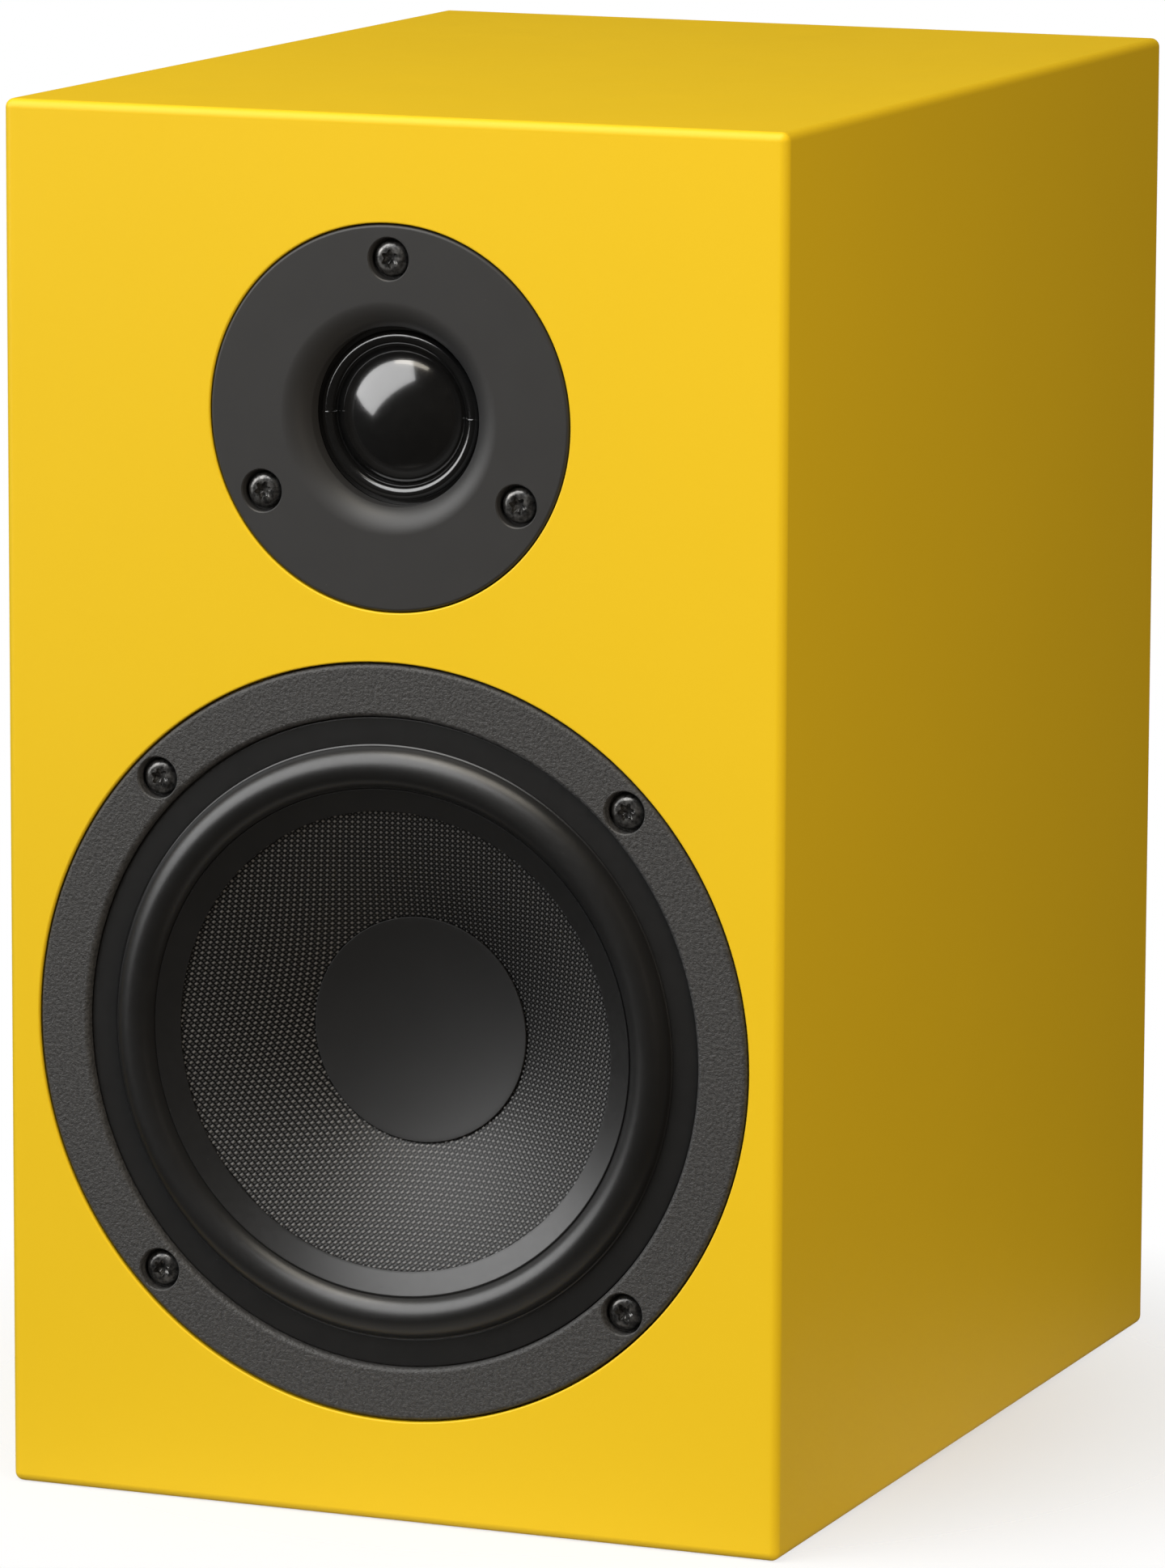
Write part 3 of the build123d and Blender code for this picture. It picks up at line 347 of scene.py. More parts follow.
class Finish:
    """A finish. What is the same all over is given by name. What varies is added with node() and feed()."""

    def __init__(self, name, **even):
        self.material = bpy.data.materials.new(name)
        self.material.use_nodes = True
        self.tree = self.material.node_tree
        self.tree.nodes.clear()
        self.shader = self.tree.nodes.new("ShaderNodeBsdfPrincipled")
        output = self.tree.nodes.new("ShaderNodeOutputMaterial")
        self.tree.links.new(self.shader.outputs[0], output.inputs[0])
        for socket, value in even.items():
            self.shader.inputs[socket.replace("_", " ")].default_value = value

    def node(self, kind, settings, sockets, output=0):
        """Any node: its type, its settings, and the values or links of its sockets."""
        node = self.tree.nodes.new("ShaderNode" + kind)
        for setting, value in settings.items():
            if setting == "stops":
                ends = node.color_ramp.elements
                while len(ends) < len(value):
                    ends.new(0.5)
                for end, (position, colour) in zip(ends, value):
                    end.position, end.color = position, (*colour, 1)
            else:
                setattr(node, setting, value)
        for socket, value in sockets.items():
            self.set(node.inputs[socket], value)
        return Signal(self, node.outputs[output])

    def set(self, socket, value):
        if isinstance(value, Signal):
            self.tree.links.new(value.socket, socket)
        else:
            socket.default_value = value

    def feed(self, socket, signal):
        self.set(self.shader.inputs[socket], signal)

    def place(self, shift=(0, 0, 0), stretch=(1, 1, 1)):
        """Where a point is, in millimetres from shift, with each axis multiplied by stretch."""
        where = self.node("TexCoord", {}, {}, "Object")
        moved = self.node("VectorMath", {"operation": "SUBTRACT"}, {0: where, 1: [v * MM for v in shift]})
        return self.node("VectorMath", {"operation": "MULTIPLY"}, {0: moved, 1: [v / MM for v in stretch]})

    def strand(self, strands):
        """How many strands across the cone a point is, counted from its middle along (x, z) per millimetre."""
        x, z = strands
        sockets = {0: self.place(woofer_place), 1: (x, 0, z)}
        return self.node("VectorMath", {"operation": "DOT_PRODUCT"}, sockets, "Value")

    def across_and_up(self, **how):
        """The x and z of a point, as place() gives them."""
        split = self.node("SeparateXYZ", {}, {0: self.place(**how)})
        return split, Signal(self, split.socket.node.outputs[2])

    def noise(self, size, detail=2.0, rough=0.5, stretch=(1, 1, 1)):
        """Noise about 0.5, in blotches about size millimetres across."""
        sockets = {"Vector": self.place(stretch=stretch), "Scale": 1 / size, "Detail": detail, "Roughness": rough}
        return self.node("TexNoise", {}, sockets)

    def specks(self, spacing, radius):
        """1 in small round specks and 0 between them, one in each cell of the spacing, in millimetres."""
        near = self.node("TexVoronoi", {}, {"Vector": self.place(), "Scale": 1 / spacing})
        return 1 - (near > radius / spacing)

    def ramp(self, signal, *stops):
        """A colour from stops of (position, colour)."""
        return self.node("ValToRGB", {"stops": stops}, {0: signal})

    def mix(self, factor, one, two):
        """A colour between two colours."""
        one, two = ((*c, 1) if isinstance(c, tuple) else c for c in (one, two))
        return self.node("Mix", {"data_type": "RGBA"}, {0: factor, 6: one, 7: two}, 2)

    def relief(self, height):
        """A small relief, from a height in millimetres."""
        self.feed("Normal", self.node("Bump", {}, {"Strength": 1.0, "Distance": MM, "Height": height}))

    def put_on(self, *pieces):
        """Gives the finish to pieces, or to the frame's own nodes by name."""
        for piece in pieces:
            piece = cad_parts[piece] if isinstance(piece, str) else piece
            piece.data.materials.clear()
            piece.data.materials.append(self.material)


def grey(level):
    return (level, level, level)


# ---------------------------------------------------------------- finishes
def mottled(name, dark, light, size, rough, swing=0.06, relief=0.0, **even):
    """A plain finish whose colour, gloss and surface vary softly at one scale."""
    finish = Finish(name, **even)
    finish.feed("Base Color", finish.mix(finish.noise(size, 3.0), dark, light))
    finish.feed("Roughness", finish.noise(size * 0.7) * (2 * swing) + (rough - swing))
    if relief:
        finish.relief(finish.noise(size * 0.5) * relief)
    return finish


def sprayed_yellow():
    """Satin lacquer with a faint orange peel."""
    finish = Finish("sprayed_yellow", Specular_IOR_Level=0.28)
    finish.feed("Base Color", finish.mix(finish.noise(70.0), (0.765, 0.508, 0.012), (0.790, 0.526, 0.014)))
    finish.feed("Roughness", finish.noise(12.0) * 0.06 + 0.40)
    finish.relief(finish.noise(2.6, 1.0) * 0.006 + finish.noise(0.35, 0.0) * 0.0006)
    return finish


def grained_coating():
    """Black coating with a fine leathery grain, as sprayed on cast frames."""
    finish = Finish("grained_coating", Specular_IOR_Level=0.5)
    grain, fine = finish.noise(0.70, 2.0, 0.65), finish.noise(0.24, 1.0)
    finish.feed("Base Color", finish.ramp(grain, (0.34, grey(0.029)), (0.66, grey(0.057))))
    finish.feed("Roughness", fine * 0.14 + 0.46)
    finish.relief(grain * 0.26 + fine * 0.05)
    return finish


def dusty_black(name, dark, light, cloud, spacing, speck, rough, grain, relief, shine=0.5):
    """Moulded plastic or rubber: soft clouds of grey, a fine surface and a few specks of dust."""
    finish = Finish(name, Specular_IOR_Level=shine)
    body = finish.mix(finish.noise(cloud), grey(dark), grey(light))
    finish.feed("Base Color", finish.mix(finish.specks(spacing, speck), body, (0.15, 0.148, 0.143)))
    finish.feed("Roughness", finish.noise(grain * 2) * 0.10 + (rough - 0.05))
    finish.relief(finish.noise(grain, 1.0) * relief)
    return finish


def woven_fibre():
    """Resin-coated plain weave. Fine filaments run along whichever strand is on top. Its colour holds painted shade,
    dark in the gaps between strands, and a painted highlight, lighter on the strands of one set than the other.
    """
    finish = Finish("woven_fibre", Specular_IOR_Level=0.4, Coat_Roughness=0.22)
    one, other = (finish.strand(strands) for strands in STRANDS)
    on_top = (one.maths("FLOOR", one) + other.maths("FLOOR", other)) % 2.0
    one_gap, other_gap = one.maths("PINGPONG", one, 0.5), other.maths("PINGPONG", other, 0.5)
    gap = one_gap.maths("MINIMUM", one_gap, other_gap) * 2
    # painted shade and highlight: dark in the gaps between strands, lighter where one set of strands lies on top; the
    # coat follows it as well
    painted_shade_and_highlight = gap * (on_top * 0.6 + 0.4)
    finish.feed("Base Color", finish.ramp(painted_shade_and_highlight, (0.12, grey(0.001)), (0.75, grey(0.125))))
    finish.feed("Roughness", finish.noise(0.9) * 0.10 + 0.42 - on_top * 0.16)
    finish.feed("Coat Weight", painted_shade_and_highlight * 0.35)
    filaments = 5
    one_way, other_way = (way.maths("SINE", way * (filaments * 2 * pi)) for way in (one, other))
    finish.relief((one_way * (1 - on_top) + other_way * on_top) * 0.002 + gap * 0.05)
    return finish


def coated_silk():
    """Silk under a glossy black coating, whose threads just show."""
    finish = Finish("coated_silk", Specular_IOR_Level=1.0, Coat_Roughness=0.06)
    thread = 0.32
    across, up = finish.across_and_up(stretch=grey(2 * pi / thread))
    weave = across.maths("SINE", across) + up.maths("SINE", up)
    finish.feed("Base Color", finish.mix(finish.noise(3.0), grey(0.003), grey(0.007)))
    finish.feed("Roughness", finish.noise(0.8) * 0.08 + 0.13)
    finish.feed("Coat Weight", finish.noise(4.0) * 0.2 + 0.8)
    finish.relief(weave * 0.0007)
    return finish


def black_oxide():
    """Oxidised steel, mottled and a little worn."""
    finish = Finish("black_oxide", Metallic=0.9, Specular_IOR_Level=0.5)
    blotch = finish.noise(1.1, 3.0, 0.6)
    finish.feed("Base Color", finish.ramp(blotch, (0.38, grey(0.065)), (0.66, (0.27, 0.265, 0.255))))
    finish.feed("Roughness", blotch * 0.24 + 0.20)
    finish.relief(blotch * 0.045)
    return finish


def wound_wire(name, dark, light, pitch, output):
    """Enamelled wire: ridges at the wire's pitch along x, y or z, which are outputs 0, 1 and 2. Its colour is painted
    shade, dark in the grooves between turns and light on their crests.
    """
    finish = Finish(name, Metallic=1.0)
    run = finish.node("SeparateXYZ", {}, {0: finish.place()}, output)
    ridge = run.maths("PINGPONG", run, pitch / 2) * (2 / pitch)
    # painted shade: the colour runs from dark in the grooves between turns to light on the crests
    finish.feed("Base Color", finish.mix(ridge, dark, light))
    finish.feed("Roughness", finish.noise(1.5) * 0.1 + 0.25)
    finish.relief(ridge * (0.4 * pitch))
    return finish


def fibrous(name, dark, light, size, relief):
    """Loose or felted fibres."""
    finish = Finish(name, Specular_IOR_Level=0.2, Sheen_Weight=0.4)
    strands = finish.noise(size, 5.0, 0.7, stretch=(0.35, 1, 1))
    finish.feed("Base Color", finish.mix(strands, dark, light))
    finish.feed("Roughness", strands * 0.1 + 0.85)
    finish.relief(strands * relief)
    return finish


def printed_board():
    """Green board with a faint glass weave."""
    finish = Finish("printed_board", Specular_IOR_Level=0.5)
    across, up = finish.across_and_up(stretch=grey(2 * pi / 1.2))
    weave = across.maths("SINE", across) * up.maths("SINE", up)
    finish.feed("Base Color", finish.mix(weave * 0.5 + finish.noise(8.0), (0.012, 0.06, 0.03), (0.02, 0.10, 0.045)))
    finish.feed("Roughness", finish.noise(2.0) * 0.1 + 0.3)
    finish.relief(weave * 0.004)
    return finish


yellow = sprayed_yellow()
raw_board = mottled("raw_board", (0.16, 0.09, 0.045), (0.30, 0.19, 0.10), 0.8, 0.85, relief=0.05)
coating = grained_coating()
satin_plastic = dusty_black(
    "satin_plastic", 0.026, 0.031, cloud=9.0, spacing=5.5, speck=0.055, rough=0.46, grain=0.22, relief=0.006
)
rubber = dusty_black(
    "rubber", 0.008, 0.012, cloud=6.0, spacing=3.4, speck=0.05, rough=0.34, grain=0.6, relief=0.005, shine=0.75
)
cap_plastic = dusty_black(
    "cap_plastic", 0.009, 0.012, cloud=8.0, spacing=7.0, speck=0.05, rough=0.45, grain=0.3, relief=0.006, shine=0.75
)
weave = woven_fibre()
silk = coated_silk()
oxide = black_oxide()
port_plastic = dusty_black(
    "port_plastic", 0.020, 0.026, cloud=9.0, spacing=8.0, speck=0.05, rough=0.42, grain=0.25, relief=0.006
)
cup_plastic = dusty_black(
    "cup_plastic", 0.024, 0.031, cloud=9.0, spacing=7.0, speck=0.05, rough=0.40, grain=0.25, relief=0.008
)
red_plastic = mottled("red_plastic", (0.42, 0.010, 0.008), (0.50, 0.014, 0.010), 5.0, 0.30, relief=0.01)
black_plastic = mottled("black_plastic", grey(0.016), grey(0.022), 5.0, 0.30, relief=0.01)
gilt = mottled("gilt", (0.78, 0.54, 0.20), (0.86, 0.62, 0.26), 2.5, 0.22, relief=0.01, Metallic=1.0)
foam = fibrous("foam", grey(0.012), grey(0.030), 0.5, 0.12)
alloy = mottled("alloy", grey(0.55), grey(0.65), 3.0, 0.30, relief=0.01, Metallic=1.0)
zinc_steel = mottled("zinc_steel", (0.50, 0.50, 0.48), (0.62, 0.61, 0.57), 2.0, 0.34, relief=0.02, Metallic=1.0)
ferrite = mottled("ferrite", (0.045, 0.043, 0.042), (0.085, 0.082, 0.080), 1.4, 0.62, relief=0.10)
fibre_board = mottled("fibre_board", (0.22, 0.12, 0.05), (0.32, 0.19, 0.09), 1.2, 0.70, relief=0.04)
tinned = mottled("tinned", (0.55, 0.55, 0.53), (0.68, 0.67, 0.64), 1.5, 0.28, relief=0.02, Metallic=1.0)
spider_cloth = fibrous("spider_cloth", (0.30, 0.20, 0.07), (0.48, 0.34, 0.14), 0.4, 0.05)
felt = fibrous("felt", grey(0.10), grey(0.20), 0.5, 0.10)
wadding_fibre = fibrous("wadding_fibre", grey(0.55), grey(0.80), 1.2, 0.60)
nylon = mottled("nylon", grey(0.60), grey(0.70), 3.0, 0.45, relief=0.01)
film_can = mottled("film_can", (0.10, 0.10, 0.12), (0.16, 0.16, 0.18), 4.0, 0.35, relief=0.02)
ceramic = mottled("ceramic", (0.62, 0.60, 0.55), (0.74, 0.72, 0.66), 1.0, 0.80, relief=0.06)
sleeve = mottled("sleeve", (0.02, 0.02, 0.022), (0.035, 0.035, 0.037), 3.0, 0.42, relief=0.01)
board_green = printed_board()
copper = ((0.42, 0.13, 0.05), (0.80, 0.34, 0.14))
coil_copper = wound_wire("coil_copper", *copper, 0.35, 1)
inductor_copper = wound_wire("inductor_copper", *copper, 0.9, 2)


# ---------------------------------------------------------------- fitting a piece to the frame
def fit(piece, finish, slot, body, *nodes):
    """Shades and finishes a piece, and lets it ride on a body in place of the frame's nodes."""
    shade(piece)
    finish.put_on(piece)
    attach(piece, body)
    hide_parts(*nodes)


def stretch_between(piece, share):
    """Bakes a glued-in ring's place into its mesh and works out how far each point would follow the moving body, but
    nothing uses these shares and the ring does not flex. share(x, y, z) is how far a point follows the moving body,
    from 0 to 1.
    """
    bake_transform(piece)
    points = np.array([v.co for v in piece.data.vertices]) / MM
    weights = np.array([share(*point) for point in points], np.float32)


def flexible(piece, finish, share, node):
    """A piece that is glued to the cabinet at one edge and to a moving body at the other."""
    shade(piece)
    finish.put_on(piece)
    stretch_between(piece, share)
    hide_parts(node)


def ring_share(place, still, moving):
    """The share of a ring that is still at one radius and moves at the other."""

    def share(x, y, z):
        radius = sqrt((x - place.x) ** 2 + (z - place.z) ** 2)
        t = min(max((radius - still) / (moving - still), 0.0), 1.0)
        return t * t * (3 - 2 * t)

    return share


# ---------------------------------------------------------------- cabinet
def entrance(radius, depth, ease=0.35):
    """A tool for a round recess whose rim is eased."""
    rim = arc((radius + ease, 0), (radius + ease * 0.29, ease * 0.29), (radius, ease), 5)
    return [(0, -1), (radius + ease, -1), *rim, (radius, depth), (0, depth)]


def cabinet_shell():
    """One lacquered shell with eased edges, its recesses and its holes, and bare board inside."""
    wrap, baffle_depth, back = 12.0, front_high.y - FRONT, REAR - rear_low.y
    half = WIDTH / 2
    shell = bar("cabinet_shell", (-half, FRONT, 0), (half, REAR, HEIGHT))
    edge_round = 1.8
    rounding = {"offset": edge_round * MM, "segments": 8, "profile": 0.5, "affect": "EDGES", "clamp_overlap": True}
    rework(shell, lambda work: bmesh.ops.bevel(work, geom=work.edges[:], **rounding))
    inner = half - wrap
    room = bar("tool", (-inner, FRONT + baffle_depth, wrap), (inner, REAR - back, HEIGHT - wrap))
    relief, seat_width, past = 5.0, 13.9, baffle_depth + 1
    cut_out = half_width("woofer_basket") - seat_width
    woofer_hole = [(0, 5), (cut_out, 5), (cut_out, baffle_depth - relief), (cut_out + relief + 1, past), (0, past)]
    hub_hole, port_hole = 27.0, 19.3
    tray_width, tray_height, tray_corner = 61.6, 43.6, 6.0
    tray = [rounded_rectangle(tray_width, tray_height, tray_corner, y) for y in (-back - 1, 1)]
    holes = [
        turned("tool", woofer_hole, woofer_place, 192),
        plug(hub_hole, 4, past, tweeter_place),
        bar("tool", (-10, 4.5, -32.5), (10, past, 0), tweeter_place),
        plug(port_hole, -back - 1, 1, port_place),
        loft("tool", tray, cup_place),
    ]
    recesses = [
        turned("tool", entrance(flange_radius + 0.4, 5.8), woofer_place, 256),
        turned("tool", entrance(plate_radius + 0.3, 5.0), tweeter_place, 256),
    ]
    for piece, finish in [(shell, yellow), (room, raw_board)] + [(h, raw_board) for h in holes]:
        finish.put_on(piece)
    yellow.put_on(*recesses)
    combine(shell, "DIFFERENCE", [room, *holes, *recesses])
    shade(shell)
    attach(shell, "cabinet")
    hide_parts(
        "front_baffle", "rear_panel", "top_panel", "bottom_panel", "left_side_panel", "right_side_panel"
    )


cabinet_shell()


# ---------------------------------------------------------------- screws
def six_lobe_head(sink, steps=72):
    """A pan-head screw with a six-lobe socket, its head's top at depth sink."""
    crown = arc((1.9, sink), (3.05, sink + 0.45), (3.5, sink + 1.3), 10)
    body = [(0, sink), *crown, (3.5, sink + 1.85), (3.35, sink + 2.0), (1.6, sink + 2.0), (1.6, 12), (0.2, 15), (0, 15)]
    screw = turned("tool", body, steps=96)
    lobes = []
    for depth, grow in ((sink - 1, 0.0), (sink + 1.0, 0.0), (sink + 1.35, -0.75)):
        section = []
        for k in range(steps):
            angle = 2 * pi * k / steps
            reach = 1.52 + 0.30 * cos(6 * angle) + grow
            section.append((reach * cos(angle), depth, reach * sin(angle)))
        lobes.append(section)
    combine(screw, "DIFFERENCE", [loft("tool", lobes)])
    return shape_of(screw)


def turned_about(shape, angle):
    """A set of (vertices, faces) turned about the depth axis by an angle in degrees."""
    (vertices, faces), a = shape, radians(angle)
    return [(x * cos(a) - z * sin(a), y, x * sin(a) + z * cos(a)) for x, y, z in vertices], faces


def driver_screws(name, sink, points, angles, place):
    """Screws whose sockets stopped at different angles when they were driven."""
    head = six_lobe_head(sink)
    groups = [(turned_about(head, angle), point) for angle, point in zip(angles, points)]
    fit(joined(name, groups, place), oxide, "black_screw", "cabinet", name)


woofer_screw_points, woofer_sink = on_circle(69.0, 4, 45), 1.0
tweeter_screw_points, tweeter_sink = on_circle(30.55, 3, 90), 0.6
driver_screws("woofer_screws", woofer_sink, woofer_screw_points, (8, 41, 22, 55), woofer_place)
driver_screws("tweeter_screws", tweeter_sink, tweeter_screw_points, (30, 12, 47), tweeter_place)


def counterbores(points, sink, place):
    """Tools for the screws' holes. An odd count of segments keeps their seams off the flange's own."""
    wide, snug, clear, seat = 4.35, 4.1, 1.9, sink + 2.0
    bore = [(0, -1), (wide, -1), (wide, -0.02), (snug, 0.25), (snug, seat), (clear, seat), (clear, 15), (0, 15)]
    return [turned("tool", bore, place + Vector((x, 0, z)), 61) for x, z in points]


# ---------------------------------------------------------------- woofer
def woofer_basket():
    """Cast frame: grained flange, tapered cage with six windows, and rear ring."""
    rim = arc((flange_radius - 0.9, 0), (flange_radius - 0.26, 0.26), (flange_radius, 0.9), 6)
    step = arc((63.9, 1.0), (64.2, 0.3), (64.9, 0), 6)
    outline = [*step, *rim]
    outline += [(flange_radius, 4.8), (59.4, 4.8), (59.4, 8.6), (39.0, 28.5), (39.0, 33.5), (16.5, 33.5), (16.5, 31.5)]
    outline += [(31.8, 31.5), (31.8, 28.5), (36.5, 28.5), (57.2, 8.1), (57.2, 2.4), (63.9, 2.4)]
    basket = turned("woofer_basket", outline, woofer_place, 256)
    windows = []
    count, opening, near, far = 6, 42, 30, 66
    for k in range(count):
        first = 90 + 360 * k / count - opening / 2
        spokes = [radians(first + opening * step / 12) for step in range(13)]
        inside = [(near * cos(a), near * sin(a)) for a in spokes]
        outside = [(far * cos(a), far * sin(a)) for a in reversed(spokes)]
        windows.append(loft("tool", [[(x, d, z) for x, z in inside + outside] for d in (10.5, 26)], woofer_place))
    combine(basket, "DIFFERENCE", counterbores(woofer_screw_points, woofer_sink, woofer_place) + windows)
    combine(basket, "UNION", [bar("tool", (-8, 29.0, -41.5), (8, 33.5, -37.0), woofer_place)])
    fit(basket, coating, "flange_coating", "cabinet", "woofer_basket")


def woofer_surround():
    """Rubber half roll between its outer lip, glued in the basket, and its inner lip, glued on the cone."""
    lip = [(45.35, 2.46), (45.6, 2.38), (49.5, 0.58), (49.75, 0.60)]
    front_roll = arc((49.95, 0.80), (54.05, -2.0), (58.1, 1.45), 48)
    outer = [(58.35, 1.62), (58.7, 1.5), (63.3, 1.5), (63.6, 1.6), (63.7, 1.9), (63.7, 2.4), (58.0, 2.4)]
    back_roll = arc((57.4, 2.25), (54.05, -1.35), (50.6, 1.7), 24)
    inner = [(50.2, 2.3), (49.35, 2.8), (45.2, 2.8), (45.2, 2.52)]
    surround = turned("woofer_surround", [*lip, *front_roll, *outer, *back_roll, *inner], woofer_place, 256)
    share = ring_share(woofer_place, 58.1, 49.8)
    flexible(surround, rubber, share, "woofer_surround")


def cone_flank(steps=40):
    return arc((45.2, 2.9), (22.3, 15.9), (12.7, 23.8), steps)


def cone_depth(radius):
    """Depth of the cone's front at a radius."""
    if radius >= 45.2:
        return 2.9
    points = cone_flank(60)
    for (r1, d1), (r2, d2) in zip(points, points[1:]):
        if r2 <= radius <= r1:
            return d1 + (d2 - d1) * (r1 - radius) / (r1 - r2)
    return points[-1][1]


def over_under(one, other):
    """Height of the plain weave at a count of strands both ways, from 0 in its gaps to 1 on its crests."""
    across, up = one % 1 - 0.5, other % 1 - 0.5
    upright = (int(one // 1) + int(other // 1)) % 2 == 0
    along, side = (up, across) if upright else (across, up)
    return cos(pi * along) ** 0.5 * cos(pi * side) * (0.7 if upright else 1.0)


def woofer_cone():
    """Pressed cone: a plain body with the woven sheet laid on its front."""
    flank = cone_flank(24)
    front = [(49.15, 2.9), (47.0, 2.9), (46.0, 3.1)] + [(r - 0.2, d + 0.34) for r, d in flank[1:-1]]
    back = [(r, d + 0.8) for r, d in reversed(flank)]
    body = turned("woofer_cone", [*front, (12.7, 23.9), *back, (49.15, 3.7)], woofer_place, 128)
    reach, neck, relief, cell = 46.6, 20.8, 0.28, 0.05
    profile = [cone_depth(k * cell) for k in range(int(reach / cell) + 12)]
    (ax, az), (bx, bz) = STRANDS
    area = ax * bz - az * bx
    count = int(reach * 1.5) * 3
    names, vertices, faces = {}, [], []
    for i in range(-count, count + 1):
        for j in range(-count, count + 1):
            one, other = (i + 0.5) / 3, (j + 0.5) / 3
            x, z = (one * bz - other * az) / area, (other * ax - one * bx) / area
            radius = sqrt(x * x + z * z)
            if neck <= radius <= reach:
                k = int(radius / cell)
                depth = profile[k] + (profile[k + 1] - profile[k]) * (radius / cell - k)
                fade = min(1.0, (46.4 - radius) / 1.2) if radius > 45.2 else 1.0
                names[i, j] = len(vertices)
                vertices.append((x, depth + 0.02 + relief * (1 - over_under(one, other)) * fade, z))
    for i, j in names:
        corners = [(i, j), (i + 1, j), (i + 1, j + 1), (i, j + 1)]
        if all(corner in names for corner in corners):
            faces.append([names[corner] for corner in corners])
    sheet = make_piece("woofer_weave", vertices, faces, woofer_place)
    if sheet.data.polygons[0].normal.y > 0:
        sheet.data.flip_normals()
    cone = merge("woofer_cone", [body, sheet])
    for face in cone.data.polygons:
        face.use_smooth = True
    weave.put_on(cone)
    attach(cone, "woofer_motion")
    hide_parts("woofer_cone")


def woofer_dust_cap():
    """Shallow dish with a small rounded edge where it is glued on the cone."""
    front = dish(22.1, 15.52, 17.9, 24)
    back = [(0, 18.5), *reversed(dish(22.2, 16.0, 18.5, 24)[:-1])]
    cap = turned("woofer_dust_cap", [(22.28, 15.65), (22.22, 15.55), *front, *back, (22.3, 15.9)], woofer_place, 192)
    fit(cap, cap_plastic, "cap_plastic", "woofer_motion", "woofer_dust_cap")


def woofer_spider():
    """Corrugated cloth disc between the former and the basket's rear ledge."""
    ripple = [(15.5 + 16.0 * k / 80, -1.1 * sin(pi * 10 * k / 80)) for k in range(81)]
    front = [(12.7, 28.0), *[(r, 28.0 + rise) for r, rise in ripple], (35.5, 28.0)]
    back = [(35.5, 28.5), *[(r, 28.5 + rise) for r, rise in reversed(ripple)], (12.7, 28.5)]
    spider = turned("woofer_spider", front + back, woofer_place, 128)
    share = ring_share(woofer_place, 31.5, 15.5)
    flexible(spider, spider_cloth, share, "woofer_spider")


def tinsel_leads():
    """Braided leads from the cone's back to the blades, with the route that the frame gives them."""
    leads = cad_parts["woofer_tinsel_leads"].copy()
    leads.data = leads.data.copy()
    leads.name = leads.data.name = "woofer_leads"
    leads.parent = None
    bpy.context.scene.collection.objects.link(leads)
    low, high = box_mm("woofer_tinsel_leads")

    def share(x, y, z):
        t = min(max((z - low.z - 1.2) / (high.z - low.z - 2.4), 0.0), 1.0)
        return t * t * (3 - 2 * t)

    flexible(leads, coil_copper, share, "woofer_tinsel_leads")


woofer_basket()
woofer_surround()
woofer_cone()
woofer_dust_cap()
woofer_spider()
tinsel_leads()


# ---------------------------------------------------------------- tweeter
def tweeter_faceplate():
    """Satin plate with a rounded waveguide, a narrow throat edge and a hub behind."""
    horn = arc((17.35, 3.4), (18.95, 1.28), (22.6, 0), 28)
    rim = arc((plate_radius - 0.6, 0), (plate_radius - 0.18, 0.18), (plate_radius, 0.6), 5)
    outline = [*horn, *rim, (plate_radius, 4.0), (25.3, 4.0), (25.3, 7.4), (19.2, 7.4), (19.2, 6.2), (17.35, 6.2)]
    plate = turned("tweeter_faceplate", outline, tweeter_place, 256)
    combine(plate, "DIFFERENCE", counterbores(tweeter_screw_points, tweeter_sink, tweeter_place))
    fit(plate, satin_plastic, "faceplate_plastic", "cabinet", "tweeter_faceplate")


def tweeter_dome():
    front = dish(13.3, 6.4, 0.2, 40)
    back = list(reversed(dish(13.0, 6.4, 0.5, 30)))
    outline = [*front, *back, (13.0, 7.0), (12.95, 7.0), (12.95, 7.3), (13.3, 7.3)]
    dome = turned("tweeter_dome", outline, tweeter_place, 192)
    fit(dome, silk, "coated_silk", "tweeter_motion", "tweeter_dome")


def tweeter_surround():
    """Small coated roll, with the coil's two lead-outs glued across it."""
    top = arc((13.65, 6.4), (15.025, 5.0), (16.4, 6.4), 24)
    under = arc((16.1, 6.4), (15.025, 5.3), (13.95, 6.4), 16)
    outline = [*top, (19.0, 6.4), (19.0, 6.8), (16.1, 6.8), *under, (13.95, 6.8), (13.3, 6.8), (13.3, 6.4)]
    roll = spin(outline, 192)
    groups = [(roll, (0, 0))]
    ridge = [(13.5, 6.38), *[(r, d - 0.04) for r, d in top[1:-1]], (16.6, 6.38), (17.3, 6.38)]
    for side in (1, -1):
        groups.append((wire([(side * r, d, 0.0) for r, d in ridge], 0.16, 8), (0, 0)))
    surround = joined("tweeter_surround", groups, tweeter_place)
    share = ring_share(tweeter_place, 16.4, 13.65)
    flexible(surround, silk, share, "tweeter_surround")


tweeter_faceplate()
tweeter_dome()
tweeter_surround()


# ---------------------------------------------------------------- rear: port and terminals
def port():
    """Tube with a flared mouth."""
    flare = arc((17.0, -6.0), (19.343, -0.343), (25.0, 2.0), 24)
    rim = arc((26.2, 2.0), (26.77, 1.77), (27.0, 1.2), 5)
    outline = [(17.0, -91.6), *flare, *rim, (27.0, 0), (19.0, 0), (19.0, -91.6), (18.6, -92.0), (17.4, -92.0)]
    tube = turned("port_tube", outline, port_place, 192)
    fit(tube, port_plastic, "port_plastic", "cabinet", "port_tube")


post_sides = (15.0, -15.0)
cup_screw_points = [(x * 33.8, z * 24.8) for x in (-1, 1) for z in (-1, 1)]


